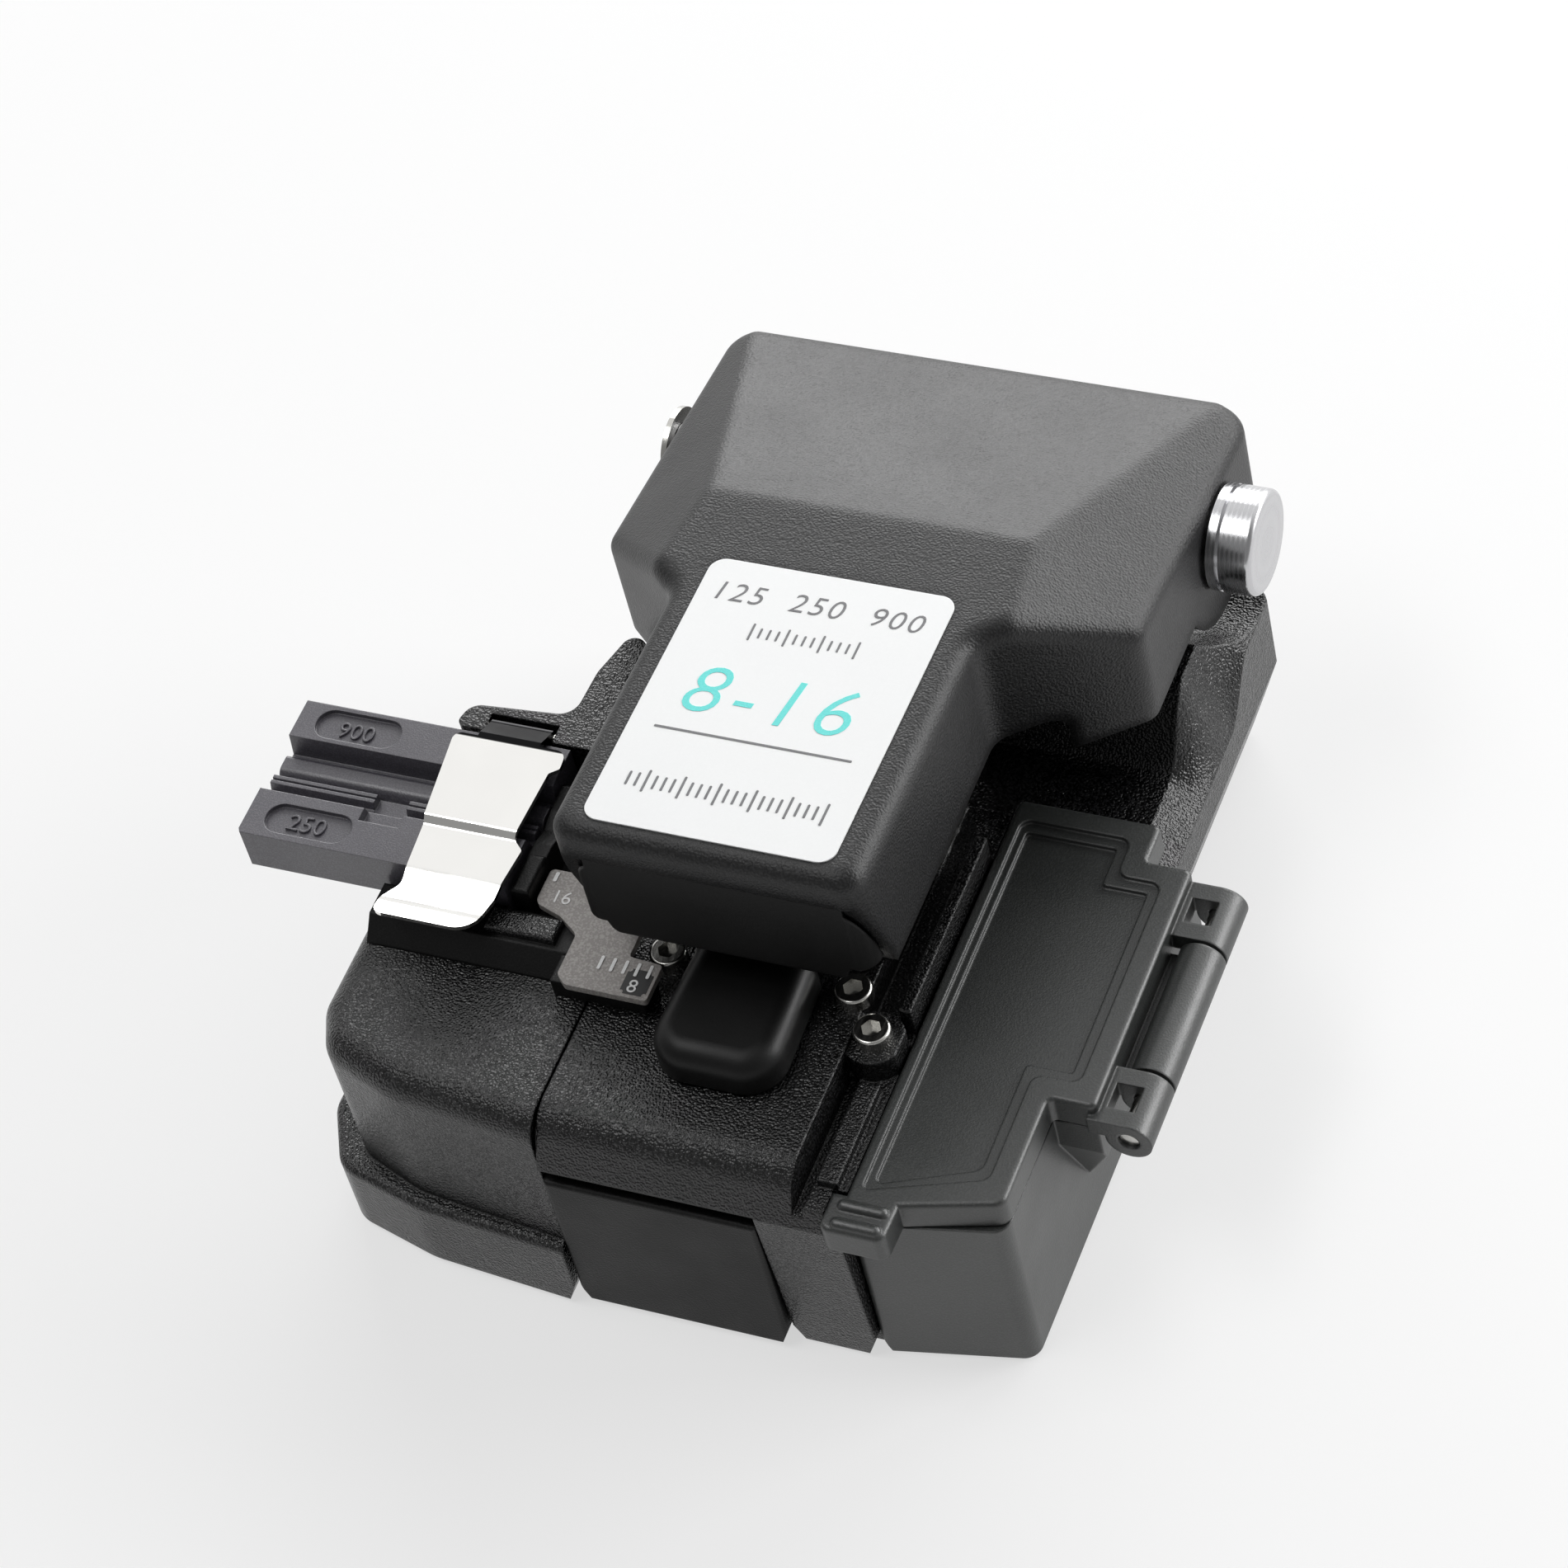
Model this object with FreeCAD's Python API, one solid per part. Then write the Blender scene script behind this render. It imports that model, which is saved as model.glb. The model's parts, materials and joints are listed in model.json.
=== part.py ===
import FreeCAD, Part
import math
import os

# Fibre cleaver: a lever-operated tool that scores and snaps an optical fibre.
# Millimetres, +Z up, +Y to the back, +X to the scrap box. The origin is on the
# table under the cleave plane: the blade turns in the plane x = 0.

V = FreeCAD.Vector

# ---- clearances -------------------------------------------------------------
SEAT = 0.3            # pieces on different bodies that pass close by
FIT = 0.05            # radial running clearance of a shaft in its bore
SEAM = 0.2            # shut line between two mouldings

# ---- base -------------------------------------------------------------------
MAT_T = 1.0
PLATE_T = 2.0
WALL = 2.0            # wall of the body mouldings
SKIRT_GAP = 0.5       # the walls stop this far above the table
SCREW_R = 1.0         # M2 shank
SCREW_HEAD_R = 1.9
SCREW_HEAD_H = 1.5

# ---- body -------------------------------------------------------------------
DECK_Z = 22.0
FRONT_TOP_Y = -30.0   # deck's front edge
FRONT_LIP_Y = -31.9   # the face's most forward line
FRONT_LIP_Z = 17.4
FRONT_FOOT_Y = -30.9
CENTRE_LEFT = -12.3
CENTRE_RIGHT = 12.0
CENTRE_BACK = 7.0
LEFT_X = -32.6
LEFT_BACK = 3.4       # behind the adapter; the shell runs on to the rear body
BAND_H = 7.5
BAND_OUT = 2.6
REAR_FRONT = CENTRE_BACK + SEAT
REAR_HALF = 24.2      # half width at the shoulder line
REAR_FOOT_HALF = 20.4
REAR_TOP_HALF = 21.6
REAR_BACK = 34.0
REAR_LOW_Z = 16.3
REAR_HIGH_Z = 22.4
REAR_LEAN_Z = 11.5    # the side walls lean in below this
REAR_EDGE_DROP = 1.8  # the shoulder line lies this far under the low roof
REAR_RAMP_Y = 14.8    # the roof climbs over this length behind it
REAR_RAMP = 5.6
EDGE_RAMP_Y = 21.6    # the shoulder line climbs farther back
EDGE_RAMP = 5.4
LEDGE_X = 8.4         # the deck steps down beside the scrap box
LEDGE_Z = 19.2

# ---- lever ------------------------------------------------------------------
PIN_Y = 30.5
PIN_Z = 27.5
PIN_R = 2.0
LEVER_HALF = 21.8
NOSE_HALF = 12.2
NOSE_FRONT = -17.8
NOSE_BACK = 6.5       # where the wings leave the nose
WING_FRONT = 14.3
LEVER_BACK = 39.8
LEVER_TOP_Z = 40.0    # top face at the crease side of the label
LEVER_RISE = 1.1      # the nose end is this much higher
CREASE_Y = 17.0
LEVER_TAIL_Z = 32.5
BELT_FRONT_Z = 34.2
BELT_BACK_Z = 31.2
NOSE_SIDE_Z = 28.6    # lower edge of the nose's side walls
WING_HALF = 16.6      # outside this the wings reach lower
WING_Z = 24.6
TAIL_Z = 26.0
NOSE_LIP_Z = 37.9
LEVER_WALL = 1.8
LEVER_ROUND = 1.5
LUG_R = 7.4
LUG_BOSS_R = 4.2
OPEN_DEG = 30.0
SKIRT_Z = 28.8
FRAME_Z = 31.6
FRAME_T = 2.0
LABEL_W = 19.7
LABEL_L = 26.4
LABEL_FRONT = -16.3
LABEL_T = 0.25

# ---- cleaving ---------------------------------------------------------------
FIBRE_Y = -6.8
FIBRE_Z = 25.2
BLADE_R = 8.0
BLADE_T = 1.2
BLADE_OVER = 2.6      # the blade stands this far out of the deck
BLADE_REST_Y = FIBRE_Y + 3.0
CLAMP_GAP = 3.4       # from the cleave plane to each clamp
CLAMP_W = 5.6
CLAMP_L = 7.0
PAD_T = 0.9
COVER_HALF = 5.3
COVER_FRONT = -24.7
COVER_BACK = -13.4
COVER_Z = 25.6
RAIL_HALF = 3.5
RAIL_H = 4.0
CARRIAGE_HALF = 4.8
DRIVE_HALF = 4.2      # half width of the openings that the drive passes through
ARM_R = 9.5           # drive pin's distance under the hinge
STROKE = ARM_R * math.sin(math.radians(OPEN_DEG))
LINK_T = 2.4
LINK_Z = 14.0

# ---- adapter ----------------------------------------------------------------
BAR_LEFT = -43.4
BAR_RIGHT = -20.7
BAR_FRONT = -13.4
BAR_W = 13.4
BAR_BOTTOM = 22.3
BAR_T = 4.0
TROUGH_W = 5.4
TROUGH_D = 2.0
LEAF_T = 0.4
LEAF_X = -25.3        # middle of the hinge tongue
LEAF_LEFT = -29.9
LEAF_RIGHT = -20.3
LEAF_BACK = -1.0
LEAF_FRONT = -18.3
LEAF_CRANK_Y = -9.4   # the strip steps down here
LEAF_CLEAR = 0.15     # from the adapter's top to the strip
LEAF_STEP = 0.5
TONGUE_HALF = 2.6
LEAF_PIN_R = 0.35
KNUCKLE_T = 0.25
FENCE_Z = 26.4
SCALE_Z = 23.8
SCALE_T = 0.6
LEAF_PIN_Y = BAR_FRONT + BAR_W + 1.05
LEAF_PIN_Z = BAR_BOTTOM + BAR_T - 0.4
KNUCKLE_OUT = LEAF_PIN_R + FIT + KNUCKLE_T
BED_FLOOR = BAR_BOTTOM - FIT
FENCE_FRONT = BAR_FRONT + BAR_W + SEAT

# ---- scrap box --------------------------------------------------------------
BOX_LEFT = CENTRE_RIGHT
BOX_RIGHT = 23.7
BOX_WIDE = 27.2
BOX_FRONT = -30.4
BOX_SLANT = 2.2       # the front wall falls back this far to the right
BOX_BACK = CENTRE_BACK
BOX_STEP_FRONT = -17.9
BOX_STEP_BACK = 4.6
BOX_TOP = 17.0
BOX_WALL = 1.5
LID_T = 2.6
LID_HINGE_X = 29.7
LID_HINGE_Z = 17.0
KNUCKLE_R = 1.8
LID_PIN_R = 0.8
BOX_SCREW_YS = (-16.5, -6.5)
BOX_SCREW_Z = 11.0


# ---- helpers ----------------------------------------------------------------
def box(x0, x1, y0, y1, z0, z1):
    return Part.makeBox(x1 - x0, y1 - y0, z1 - z0, V(x0, y0, z0))


def cyl_x(x0, x1, y, z, r):
    return Part.makeCylinder(r, x1 - x0, V(x0, y, z), V(1, 0, 0))


def cyl_y(y0, y1, x, z, r):
    return Part.makeCylinder(r, y1 - y0, V(x, y0, z), V(0, 1, 0))


def cyl_z(z0, z1, x, y, r):
    return Part.makeCylinder(r, z1 - z0, V(x, y, z0), V(0, 0, 1))


def corner_wire(points):
    """Closed wire in XY through (x, y, radius) corners, each rounded by an arc."""
    corners = [V(p[0], p[1], 0) for p in points]
    radii = [p[2] if len(p) > 2 else 0.0 for p in points]
    starts, ends, arcs = [], [], []
    count = len(corners)
    for i in range(count):
        here = corners[i]
        back = (corners[i - 1] - here).normalize()
        ahead = (corners[(i + 1) % count] - here).normalize()
        if radii[i] <= 0:
            starts.append(here)
            ends.append(here)
            arcs.append(None)
            continue
        half = math.acos(max(-1.0, min(1.0, back.dot(ahead)))) / 2
        reach = radii[i] / math.tan(half)
        middle = (back + ahead).normalize()
        centre = here + middle * (radii[i] / math.sin(half))
        first = here + back * reach
        last = here + ahead * reach
        starts.append(first)
        ends.append(last)
        arcs.append(Part.Arc(first, centre - middle * radii[i], last).toShape())
    edges = []
    for i in range(count):
        if arcs[i] is not None:
            edges.append(arcs[i])
        if (starts[(i + 1) % count] - ends[i]).Length > 1e-6:
            edges.append(Part.LineSegment(ends[i], starts[(i + 1) % count]).toShape())
    return Part.Wire(edges)


def plan(points, z0, z1):
    """Prism on an XY outline of (x, y, radius) corners."""
    face = Part.Face(corner_wire(points))
    solid = face.extrude(V(0, 0, z1 - z0))
    solid.translate(V(0, 0, z0))
    return solid


def side(points, x0, x1):
    """Prism on a YZ outline of (y, z, radius) corners, run along X."""
    solid = plan(points, 0, x1 - x0)
    turn = FreeCAD.Placement(V(x0, 0, 0), FreeCAD.Rotation(V(0, 1, 0), V(0, 0, 1), V(1, 0, 0), "ZXY"))
    solid.Placement = turn
    return solid.copy()


def front(points, y0, y1):
    """Prism on an XZ outline of (x, z, radius) corners, run along Y."""
    solid = plan([(p[0], -p[1]) + tuple(p[2:]) for p in points], 0, y1 - y0)
    solid.rotate(V(0, 0, 0), V(1, 0, 0), -90)
    solid.translate(V(0, y0, 0))
    return solid


def join(first, *rest):
    return first.fuse(list(rest)).removeSplitter()


def round_edges(shape, radius, test):
    chosen = [e for e in shape.Edges if test(e)]
    return shape.makeFillet(radius, chosen)


def level_at(z):
    """Picks the edges that lie flat at height z."""
    return lambda e: abs(e.BoundBox.ZMin - z) < 1e-3 and abs(e.BoundBox.ZMax - z) < 1e-3


def screw(x, y, seat_z, length, head_r=SCREW_HEAD_R, head_h=SCREW_HEAD_H, shank_r=SCREW_R):
    """Socket-head screw, head up, with a hexagon socket."""
    head = cyl_z(seat_z, seat_z + head_h, x, y, head_r)
    head = round_edges(head, 0.25, level_at(seat_z + head_h))
    socket_r = head_r * 0.55
    ring = [(x + socket_r * math.cos(math.radians(60 * i)), y + socket_r * math.sin(math.radians(60 * i)))
            for i in range(6)]
    head = head.cut(plan(ring, seat_z + head_h * 0.4, seat_z + head_h + 1))
    return join(head, cyl_z(seat_z - length, seat_z, x, y, shank_r))


def screws(places, seat_z, length, **sizes):
    return Part.makeCompound([screw(x, y, seat_z, length, **sizes) for x, y in places])


def above(a, b, c, drop):
    """Half-space over the plane through three points, lowered along its normal."""
    normal = (b - a).cross(c - a).normalize()
    if normal.z < 0:
        normal = normal * -1
    size = 160
    block = Part.makeBox(size, size, size, V(-size / 2, -size / 2, 0))
    block.Placement = FreeCAD.Placement(a - normal * drop, FreeCAD.Rotation(V(0, 0, 1), normal))
    return block


# ---- base -------------------------------------------------------------------
PLATE_TOP = MAT_T + PLATE_T
INNER_FRONT = FRONT_FOOT_Y + WALL + SEAM
BOSS_R = 2.4
BOSS_X = CENTRE_RIGHT - WALL - BOSS_R + 0.4
BASE_BOSSES = [(LEFT_X + 6.0, -21.0), (LEFT_X + 6.0, -4.0), (BOSS_X, -24.0), (BOSS_X, 1.0),
               (-13.5, 26.0), (13.5, 26.0)]


def base_plate():
    plate = plan(base_outline(0), MAT_T, PLATE_TOP)
    for x, y in BASE_BOSSES:
        plate = plate.cut(cyl_z(0, PLATE_TOP + 1, x, y, SCREW_R + 0.15))
        plate = plate.cut(cyl_z(0, MAT_T + 1.0, x, y, SCREW_HEAD_R + 0.2))
    for x, y in rail_screw_places():
        plate = plate.cut(cyl_z(0, PLATE_TOP + 1, x, y, SCREW_R + FIT))
    return plate


def base_outline(inset):
    """The underside inside the walls: a wide front left, a narrower centre and rear."""
    left = LEFT_X + WALL + SEAM + inset
    front_y = INNER_FRONT + inset
    right = CENTRE_RIGHT - WALL - SEAM - inset
    rear = REAR_FOOT_HALF - WALL - SEAM - inset
    back = REAR_BACK - WALL - SEAM - inset
    step = REAR_FRONT + WALL + SEAM + inset
    return [(left, front_y + 5.6, 3), (left + 6.4, front_y + 1.3, 5), (CENTRE_LEFT, front_y, 0), (right, front_y, 1),
            (right, step, 0), (rear, step, 1), (rear, back, 3), (-rear, back, 3), (-rear, step, 1),
            (CENTRE_LEFT - 1 + inset, step, 0), (CENTRE_LEFT - 1 + inset, LEFT_BACK - WALL - SEAM - inset, 0),
            (left, LEFT_BACK - WALL - SEAM - inset, 2)]


def base_room():
    """Room kept clear of the walls for the base plate."""
    return plan(base_outline(-SEAM), -1, PLATE_TOP)


def base_mat():
    mat = plan(base_outline(1.2), 0, MAT_T)
    for x, y in BASE_BOSSES:
        mat = mat.cut(cyl_z(-1, MAT_T + 1, x, y, SCREW_HEAD_R + 0.8))
    return mat


def base_screws():
    heads = []
    for x, y in BASE_BOSSES:
        one = screw(x, y, 0, 6.0, head_h=0.9)
        one.rotate(V(x, y, 0), V(1, 0, 0), 180)
        one.translate(V(0, 0, MAT_T + 1.0))
        heads.append(one)
    return Part.makeCompound(heads)


def bosses(places, top, x0, x1, y0, y1):
    """Screw bosses on the plate, for the places inside a rectangle."""
    made = []
    for x, y in places:
        if x0 < x < x1 and y0 < y < y1:
            post = cyl_z(PLATE_TOP, top, x, y, BOSS_R)
            made.append(post.cut(cyl_z(PLATE_TOP - 1, PLATE_TOP + 5.2, x, y, SCREW_R + FIT)))
    return made


# ---- centre body ------------------------------------------------------------
PANEL_RIGHT = 5.1
PANEL_TOP = 15.9
PANEL_T = 1.4
SLOT_HALF = 2.2
NECK_HALF = 1.8
NECK_FRONT = -18.6
NECK_BACK = -14.2
SLOT_FRONT = NECK_FRONT - STROKE - SEAT
SLOT_BACK = BLADE_REST_Y + BLADE_R
CAVITY_TOP = DECK_Z - WALL
LEDGE_FLOOR = LEDGE_Z - 0.8 - WALL
DECK_HEAD_R = 1.45
DECK_HEAD_H = 1.2
DECK_SHANK_R = 0.8
SCREW_C = (9.9, -16.9)
DECK_SCREW_X = 7.5
DECK_SCREW_Y = -14.1


def centre_profile(inset, foot):
    """Front-to-back section of the centre body, shrunk by inset."""
    return [(FRONT_FOOT_Y + inset, foot), (FRONT_LIP_Y + inset, FRONT_LIP_Z), (FRONT_TOP_Y + inset, DECK_Z - inset),
            (CENTRE_BACK - inset, DECK_Z - inset), (CENTRE_BACK - inset, foot)]


def ledge_cut():
    """Step beside the scrap box: deck side left standing from the screw boss to the back."""
    low = box(LEDGE_X, CENTRE_RIGHT + 1, FRONT_LIP_Y - 2, CENTRE_BACK + 1, LEDGE_Z, DECK_Z + 1)
    groove = box(LEDGE_X, LEDGE_X + 0.9, FRONT_LIP_Y - 2, SCREW_C[1] - 2.2, LEDGE_Z - 0.8, DECK_Z + 1)
    tab = box(CENTRE_RIGHT - 1.1, CENTRE_RIGHT + 1, FRONT_LIP_Y - 2, -29.0, BOX_TOP - 0.4, DECK_Z + 1)
    return join(low, groove, tab)


def centre_body():
    body = side(centre_profile(0, SKIRT_GAP), CENTRE_LEFT + SEAM, CENTRE_RIGHT)
    body = round_edges(body, 3.0, lambda e: (abs(e.BoundBox.ZMin - DECK_Z) < 0.01
                                             and e.BoundBox.YMax < FRONT_TOP_Y + 0.1))
    cavity = side(centre_profile(WALL, PLATE_TOP - WALL - 1), CENTRE_LEFT + WALL, CENTRE_RIGHT - WALL)
    under_ledge = box(LEDGE_X - WALL, CENTRE_RIGHT, -60, 60, LEDGE_FLOOR, DECK_Z)
    body = body.cut(cavity.cut(under_ledge))
    body = body.cut(ledge_cut())
    boss = cyl_z(LEDGE_Z - 1, DECK_Z - 0.6, SCREW_C[0], SCREW_C[1], 2.4)
    boss = boss.common(box(0, CENTRE_RIGHT, -60, 60, 0, 60))
    rib = box(CENTRE_RIGHT - 0.9, CENTRE_RIGHT, SCREW_C[1] + 2.4, 2.3, LEDGE_Z - 0.5, DECK_Z)
    strip = box(LEDGE_X + 1.3, LEDGE_X + 2.9, FRONT_TOP_Y + 1.0, SCREW_C[1] - 3.0, LEDGE_Z - 0.5, LEDGE_Z + 0.8)
    body = join(body, boss, rib, strip)
    body = join(body, *bosses(BASE_BOSSES, LEDGE_FLOOR + 0.5, CENTRE_LEFT, CENTRE_RIGHT, -40, CENTRE_BACK))
    body = body.cut(box(-SLOT_HALF, SLOT_HALF, SLOT_FRONT, SLOT_BACK, LEDGE_Z - 1, DECK_Z + 1))
    body = body.cut(box(-DRIVE_HALF, DRIVE_HALF, CENTRE_BACK - WALL - 1, CENTRE_BACK + 1, LINK_Z - 3, LINK_Z + 3))
    for y in BOX_SCREW_YS:
        body = body.cut(cyl_x(0, CENTRE_RIGHT + 1, y, BOX_SCREW_Z, SCREW_R + FIT))
    panel = box(CENTRE_LEFT - 1, PANEL_RIGHT + SEAM, FRONT_LIP_Y - 2, FRONT_FOOT_Y + 0.5, -1, PANEL_TOP + 1.6)
    body = body.cut(panel)
    for x, y in screw_places():
        body = body.cut(cyl_z(LEDGE_FLOOR - 1, DECK_Z + 1, x, y, DECK_SHANK_R + FIT))
    for x in (CENTRE_LEFT + SEAM, PANEL_RIGHT + SEAM / 2, CENTRE_RIGHT):
        body = body.cut(seam_notch(x))
    return body.cut(base_room())


def seam_notch(x):
    """Small V at the table where two mouldings meet on the front."""
    return front([(x - 0.8, -1), (x + 0.8, -1), (x + 0.8, SKIRT_GAP), (x, SKIRT_GAP + 2.0), (x - 0.8, SKIRT_GAP)],
                 FRONT_LIP_Y - 6, FRONT_FOOT_Y + 1.4)


def screw_places():
    return [(-DECK_SCREW_X, DECK_SCREW_Y), (DECK_SCREW_X, DECK_SCREW_Y), SCREW_C]


def front_panel():
    back_y = FRONT_FOOT_Y + 0.5
    panel = box(CENTRE_LEFT + SEAM, PANEL_RIGHT, back_y - PANEL_T, back_y, SKIRT_GAP, PANEL_TOP)
    panel = round_edges(panel, 0.35, lambda e: e.BoundBox.YMax < back_y - PANEL_T + 0.01)
    return panel.cut(seam_notch(CENTRE_LEFT + SEAM)).cut(seam_notch(PANEL_RIGHT + SEAM / 2))


def left_outline(out):
    """Plan of the left shell, let out for the foot band."""
    return [(CENTRE_LEFT, FRONT_LIP_Y + 0.6 - out * 0.35, 0), (-25.0, FRONT_LIP_Y + 2.0 - out * 0.5, 8),
            (-31.0 - out * 0.6, -27.6 - out * 0.6, 3), (LEFT_X - out, -24.0, 3), (LEFT_X - out, LEFT_BACK, 3),
            (-REAR_HALF - 1.2, LEFT_BACK, 0), (-REAR_HALF, CENTRE_BACK, 0), (CENTRE_LEFT, CENTRE_BACK, 0)]


def left_shell():
    upper = plan(left_outline(0), SKIRT_GAP, DECK_Z)
    upper = round_edges(upper, 2.4, level_at_front(DECK_Z))
    band = plan(left_outline(BAND_OUT), SKIRT_GAP, BAND_H)
    band = round_edges(band, 0.7, level_at_front(BAND_H))
    shell = join(upper, band)
    inner = plan(inner_left_outline(), PLATE_TOP - 3, CAVITY_TOP)
    shell = shell.cut(inner)
    shell = join(shell, *bosses(BASE_BOSSES, CAVITY_TOP + 0.5, -60, CENTRE_LEFT, -40, LEFT_BACK))
    shell = join(shell, fence())
    pocket = TONGUE_HALF + SEAT
    shell = shell.cut(box(LEAF_X - pocket, LEAF_X + pocket, FENCE_FRONT - 1, LEAF_PIN_Y + KNUCKLE_OUT + 0.3,
                          LEAF_PIN_Z - KNUCKLE_OUT - 0.4, FENCE_Z + 1))
    shell = shell.cut(leaf_pin())
    return shell.cut(seam_notch(CENTRE_LEFT)).cut(base_room())


def level_at_front(z):
    """Flat edges at height z, apart from the seam and the back."""
    flat = level_at(z)
    return lambda e: flat(e) and e.BoundBox.XMax - e.BoundBox.XMin > 1e-3 and e.BoundBox.YMax < 0


def inner_left_outline():
    return [(CENTRE_LEFT - 0.9, FRONT_LIP_Y + 0.6 + WALL, 0), (-24.2, FRONT_LIP_Y + 4.0, 6),
            (LEFT_X + WALL, -23.4, 2.5), (LEFT_X + WALL, LEFT_BACK - WALL, 1),
            (CENTRE_LEFT - 0.9, LEFT_BACK - WALL, 0)]


def fence():
    """Raised wall behind the adapter that sweeps back to the rear body."""
    y0 = FENCE_FRONT
    outline = [(LEAF_LEFT - 0.8, y0, 0.6), (-14.5, y0, 0), (-14.5, y0 + 6.9, 0), (-20.3, y0 + 12.2, 1),
               (-21.6, y0 + 7.4, 3), (-21.8, y0 + 2.9, 1.6), (LEAF_LEFT - 0.3, y0 + 2.2, 1.4)]
    return plan(outline, REAR_LOW_Z + SEAT, FENCE_Z)


# ---- rear body --------------------------------------------------------------
def ramp(y, start, length, low, high):
    """Height at y of a line that climbs in an S from low to high."""
    t = min(1.0, max(0.0, (y - start) / length))
    return low + (high - low) * t * t * (3 - 2 * t)


def rear_section(y):
    """Cross-section of the rear body at y: leaning walls, shoulders and a flat top."""
    top = ramp(y, REAR_RAMP_Y, REAR_RAMP, REAR_LOW_Z, REAR_HIGH_Z)
    shoulder = ramp(y, EDGE_RAMP_Y, EDGE_RAMP, REAR_LOW_Z - REAR_EDGE_DROP, REAR_HIGH_Z - 2 * REAR_EDGE_DROP)
    half = [(REAR_FOOT_HALF, SKIRT_GAP), (REAR_HALF, REAR_LEAN_Z), (REAR_HALF, shoulder), (REAR_TOP_HALF, top)]
    corners = [V(x, y, z) for x, z in half + [(-x, z) for x, z in reversed(half)]]
    return Part.makePolygon(corners + corners[:1])


def rear_form():
    """Closed form whose roof and shoulders climb in two S curves, the outer one farther back."""
    first = REAR_RAMP_Y
    last = EDGE_RAMP_Y + EDGE_RAMP
    steps = 20
    places = [REAR_FRONT] + [first + (last - first) * i / steps for i in range(steps + 1)] + [REAR_BACK]
    form = Part.makeLoft([rear_section(y) for y in places], True, True)
    rounded = plan([(-REAR_HALF - 1, REAR_FRONT, 0), (REAR_HALF + 1, REAR_FRONT, 0), (REAR_HALF + 1, REAR_BACK, 5),
                    (-REAR_HALF - 1, REAR_BACK, 5)], 0, 50)
    return form.common(rounded)


def rear_body():
    form = rear_form()
    half = REAR_FOOT_HALF - WALL + 0.6
    low_room = box(-half + 1, half - 1, REAR_FRONT + WALL, REAR_BACK - WALL, -1, REAR_LOW_Z - WALL)
    high_room = box(-REAR_TOP_HALF + WALL, REAR_TOP_HALF - WALL, REAR_RAMP_Y + REAR_RAMP, REAR_BACK - WALL, 6,
                    REAR_HIGH_Z - WALL)
    body = form.cut(low_room).cut(high_room)
    trough = LUG_R + 1.2
    body = join(body, cyl_x(-40, 40, PIN_Y, PIN_Z, trough + WALL - 0.2).common(form))
    body = body.cut(cyl_x(-40, 40, PIN_Y, PIN_Z, trough))
    body = join(body, *ears())
    body = join(body, *bosses(BASE_BOSSES, PIN_Z - trough, -30, 30, CENTRE_BACK, 60))
    body = body.cut(box(-DRIVE_HALF, DRIVE_HALF, REAR_FRONT - 1, PIN_Y + DRIVE_EYE_R + 0.4, LINK_Z - 3, PIN_Z))
    return body.cut(base_room())


EAR_X = 13.4
EAR_T = 3.2
EAR_R = 4.0


def ears():
    """Two plates that carry the hinge pin, standing on the low roof."""
    made = []
    for sign in (-1, 1):
        x0 = min(sign * EAR_X, sign * (EAR_X + EAR_T))
        plate = side([(PIN_Y - 8, REAR_LOW_Z - 3), (REAR_BACK - WALL + 0.1, REAR_LOW_Z - 3),
                      (REAR_BACK - WALL + 0.1, 19.6), (PIN_Y + EAR_R, PIN_Z - 1), (PIN_Y + EAR_R, PIN_Z),
                      (PIN_Y - EAR_R, PIN_Z), (PIN_Y - EAR_R - 1, PIN_Z - 4)], x0, x0 + EAR_T)
        plate = join(plate, cyl_x(x0, x0 + EAR_T, PIN_Y, PIN_Z, EAR_R))
        made.append(plate.cut(cyl_x(x0 - 1, x0 + EAR_T + 1, PIN_Y, PIN_Z, PIN_R + FIT)))
    return made


# ---- hinge pin --------------------------------------------------------------
PIN_HEAD_R = 4.2
PIN_TRAVEL = 1.2
PIN_TIP = 1.0
PIN_CLIP_T = 0.5
PIN_RIGHT = LEVER_HALF + SEAT
PIN_LEFT = -LEVER_HALF - SEAT - PIN_TRAVEL


def lock_pin():
    """Turned pin: shaft, flange, groove and barrel head, with a ring groove at the far end."""
    shaft = cyl_x(PIN_LEFT - PIN_TIP, PIN_RIGHT + 0.5, PIN_Y, PIN_Z, PIN_R)
    flange = cyl_x(PIN_RIGHT, PIN_RIGHT + 0.7, PIN_Y, PIN_Z, PIN_HEAD_R)
    neck = cyl_x(PIN_RIGHT + 0.5, PIN_RIGHT + 1.1, PIN_Y, PIN_Z, PIN_HEAD_R - 0.45)
    barrel = cyl_x(PIN_RIGHT + 1.0, PIN_RIGHT + 3.6, PIN_Y, PIN_Z, PIN_HEAD_R)
    barrel = round_edges(barrel, 0.45, lambda e: e.BoundBox.XMin > PIN_RIGHT + 3.5)
    pin = join(shaft, flange, neck, barrel)
    groove = cyl_x(PIN_LEFT - PIN_CLIP_T - FIT, PIN_LEFT, PIN_Y, PIN_Z, PIN_R + 1).cut(
        cyl_x(PIN_LEFT - 1, PIN_LEFT + 1, PIN_Y, PIN_Z, PIN_R - 0.5))
    return pin.cut(groove)


def pin_clip():
    """Snap ring in the pin's end groove, open at the bottom."""
    ring = cyl_x(PIN_LEFT - PIN_CLIP_T, PIN_LEFT - FIT, PIN_Y, PIN_Z, 3.2)
    ring = ring.cut(cyl_x(PIN_LEFT - 1, PIN_LEFT + 1, PIN_Y, PIN_Z, PIN_R - 0.5))
    return ring.cut(box(PIN_LEFT - 2, PIN_LEFT + 1, PIN_Y - 1.2, PIN_Y + 1.2, PIN_Z - 6, PIN_Z - 0.8))


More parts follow.
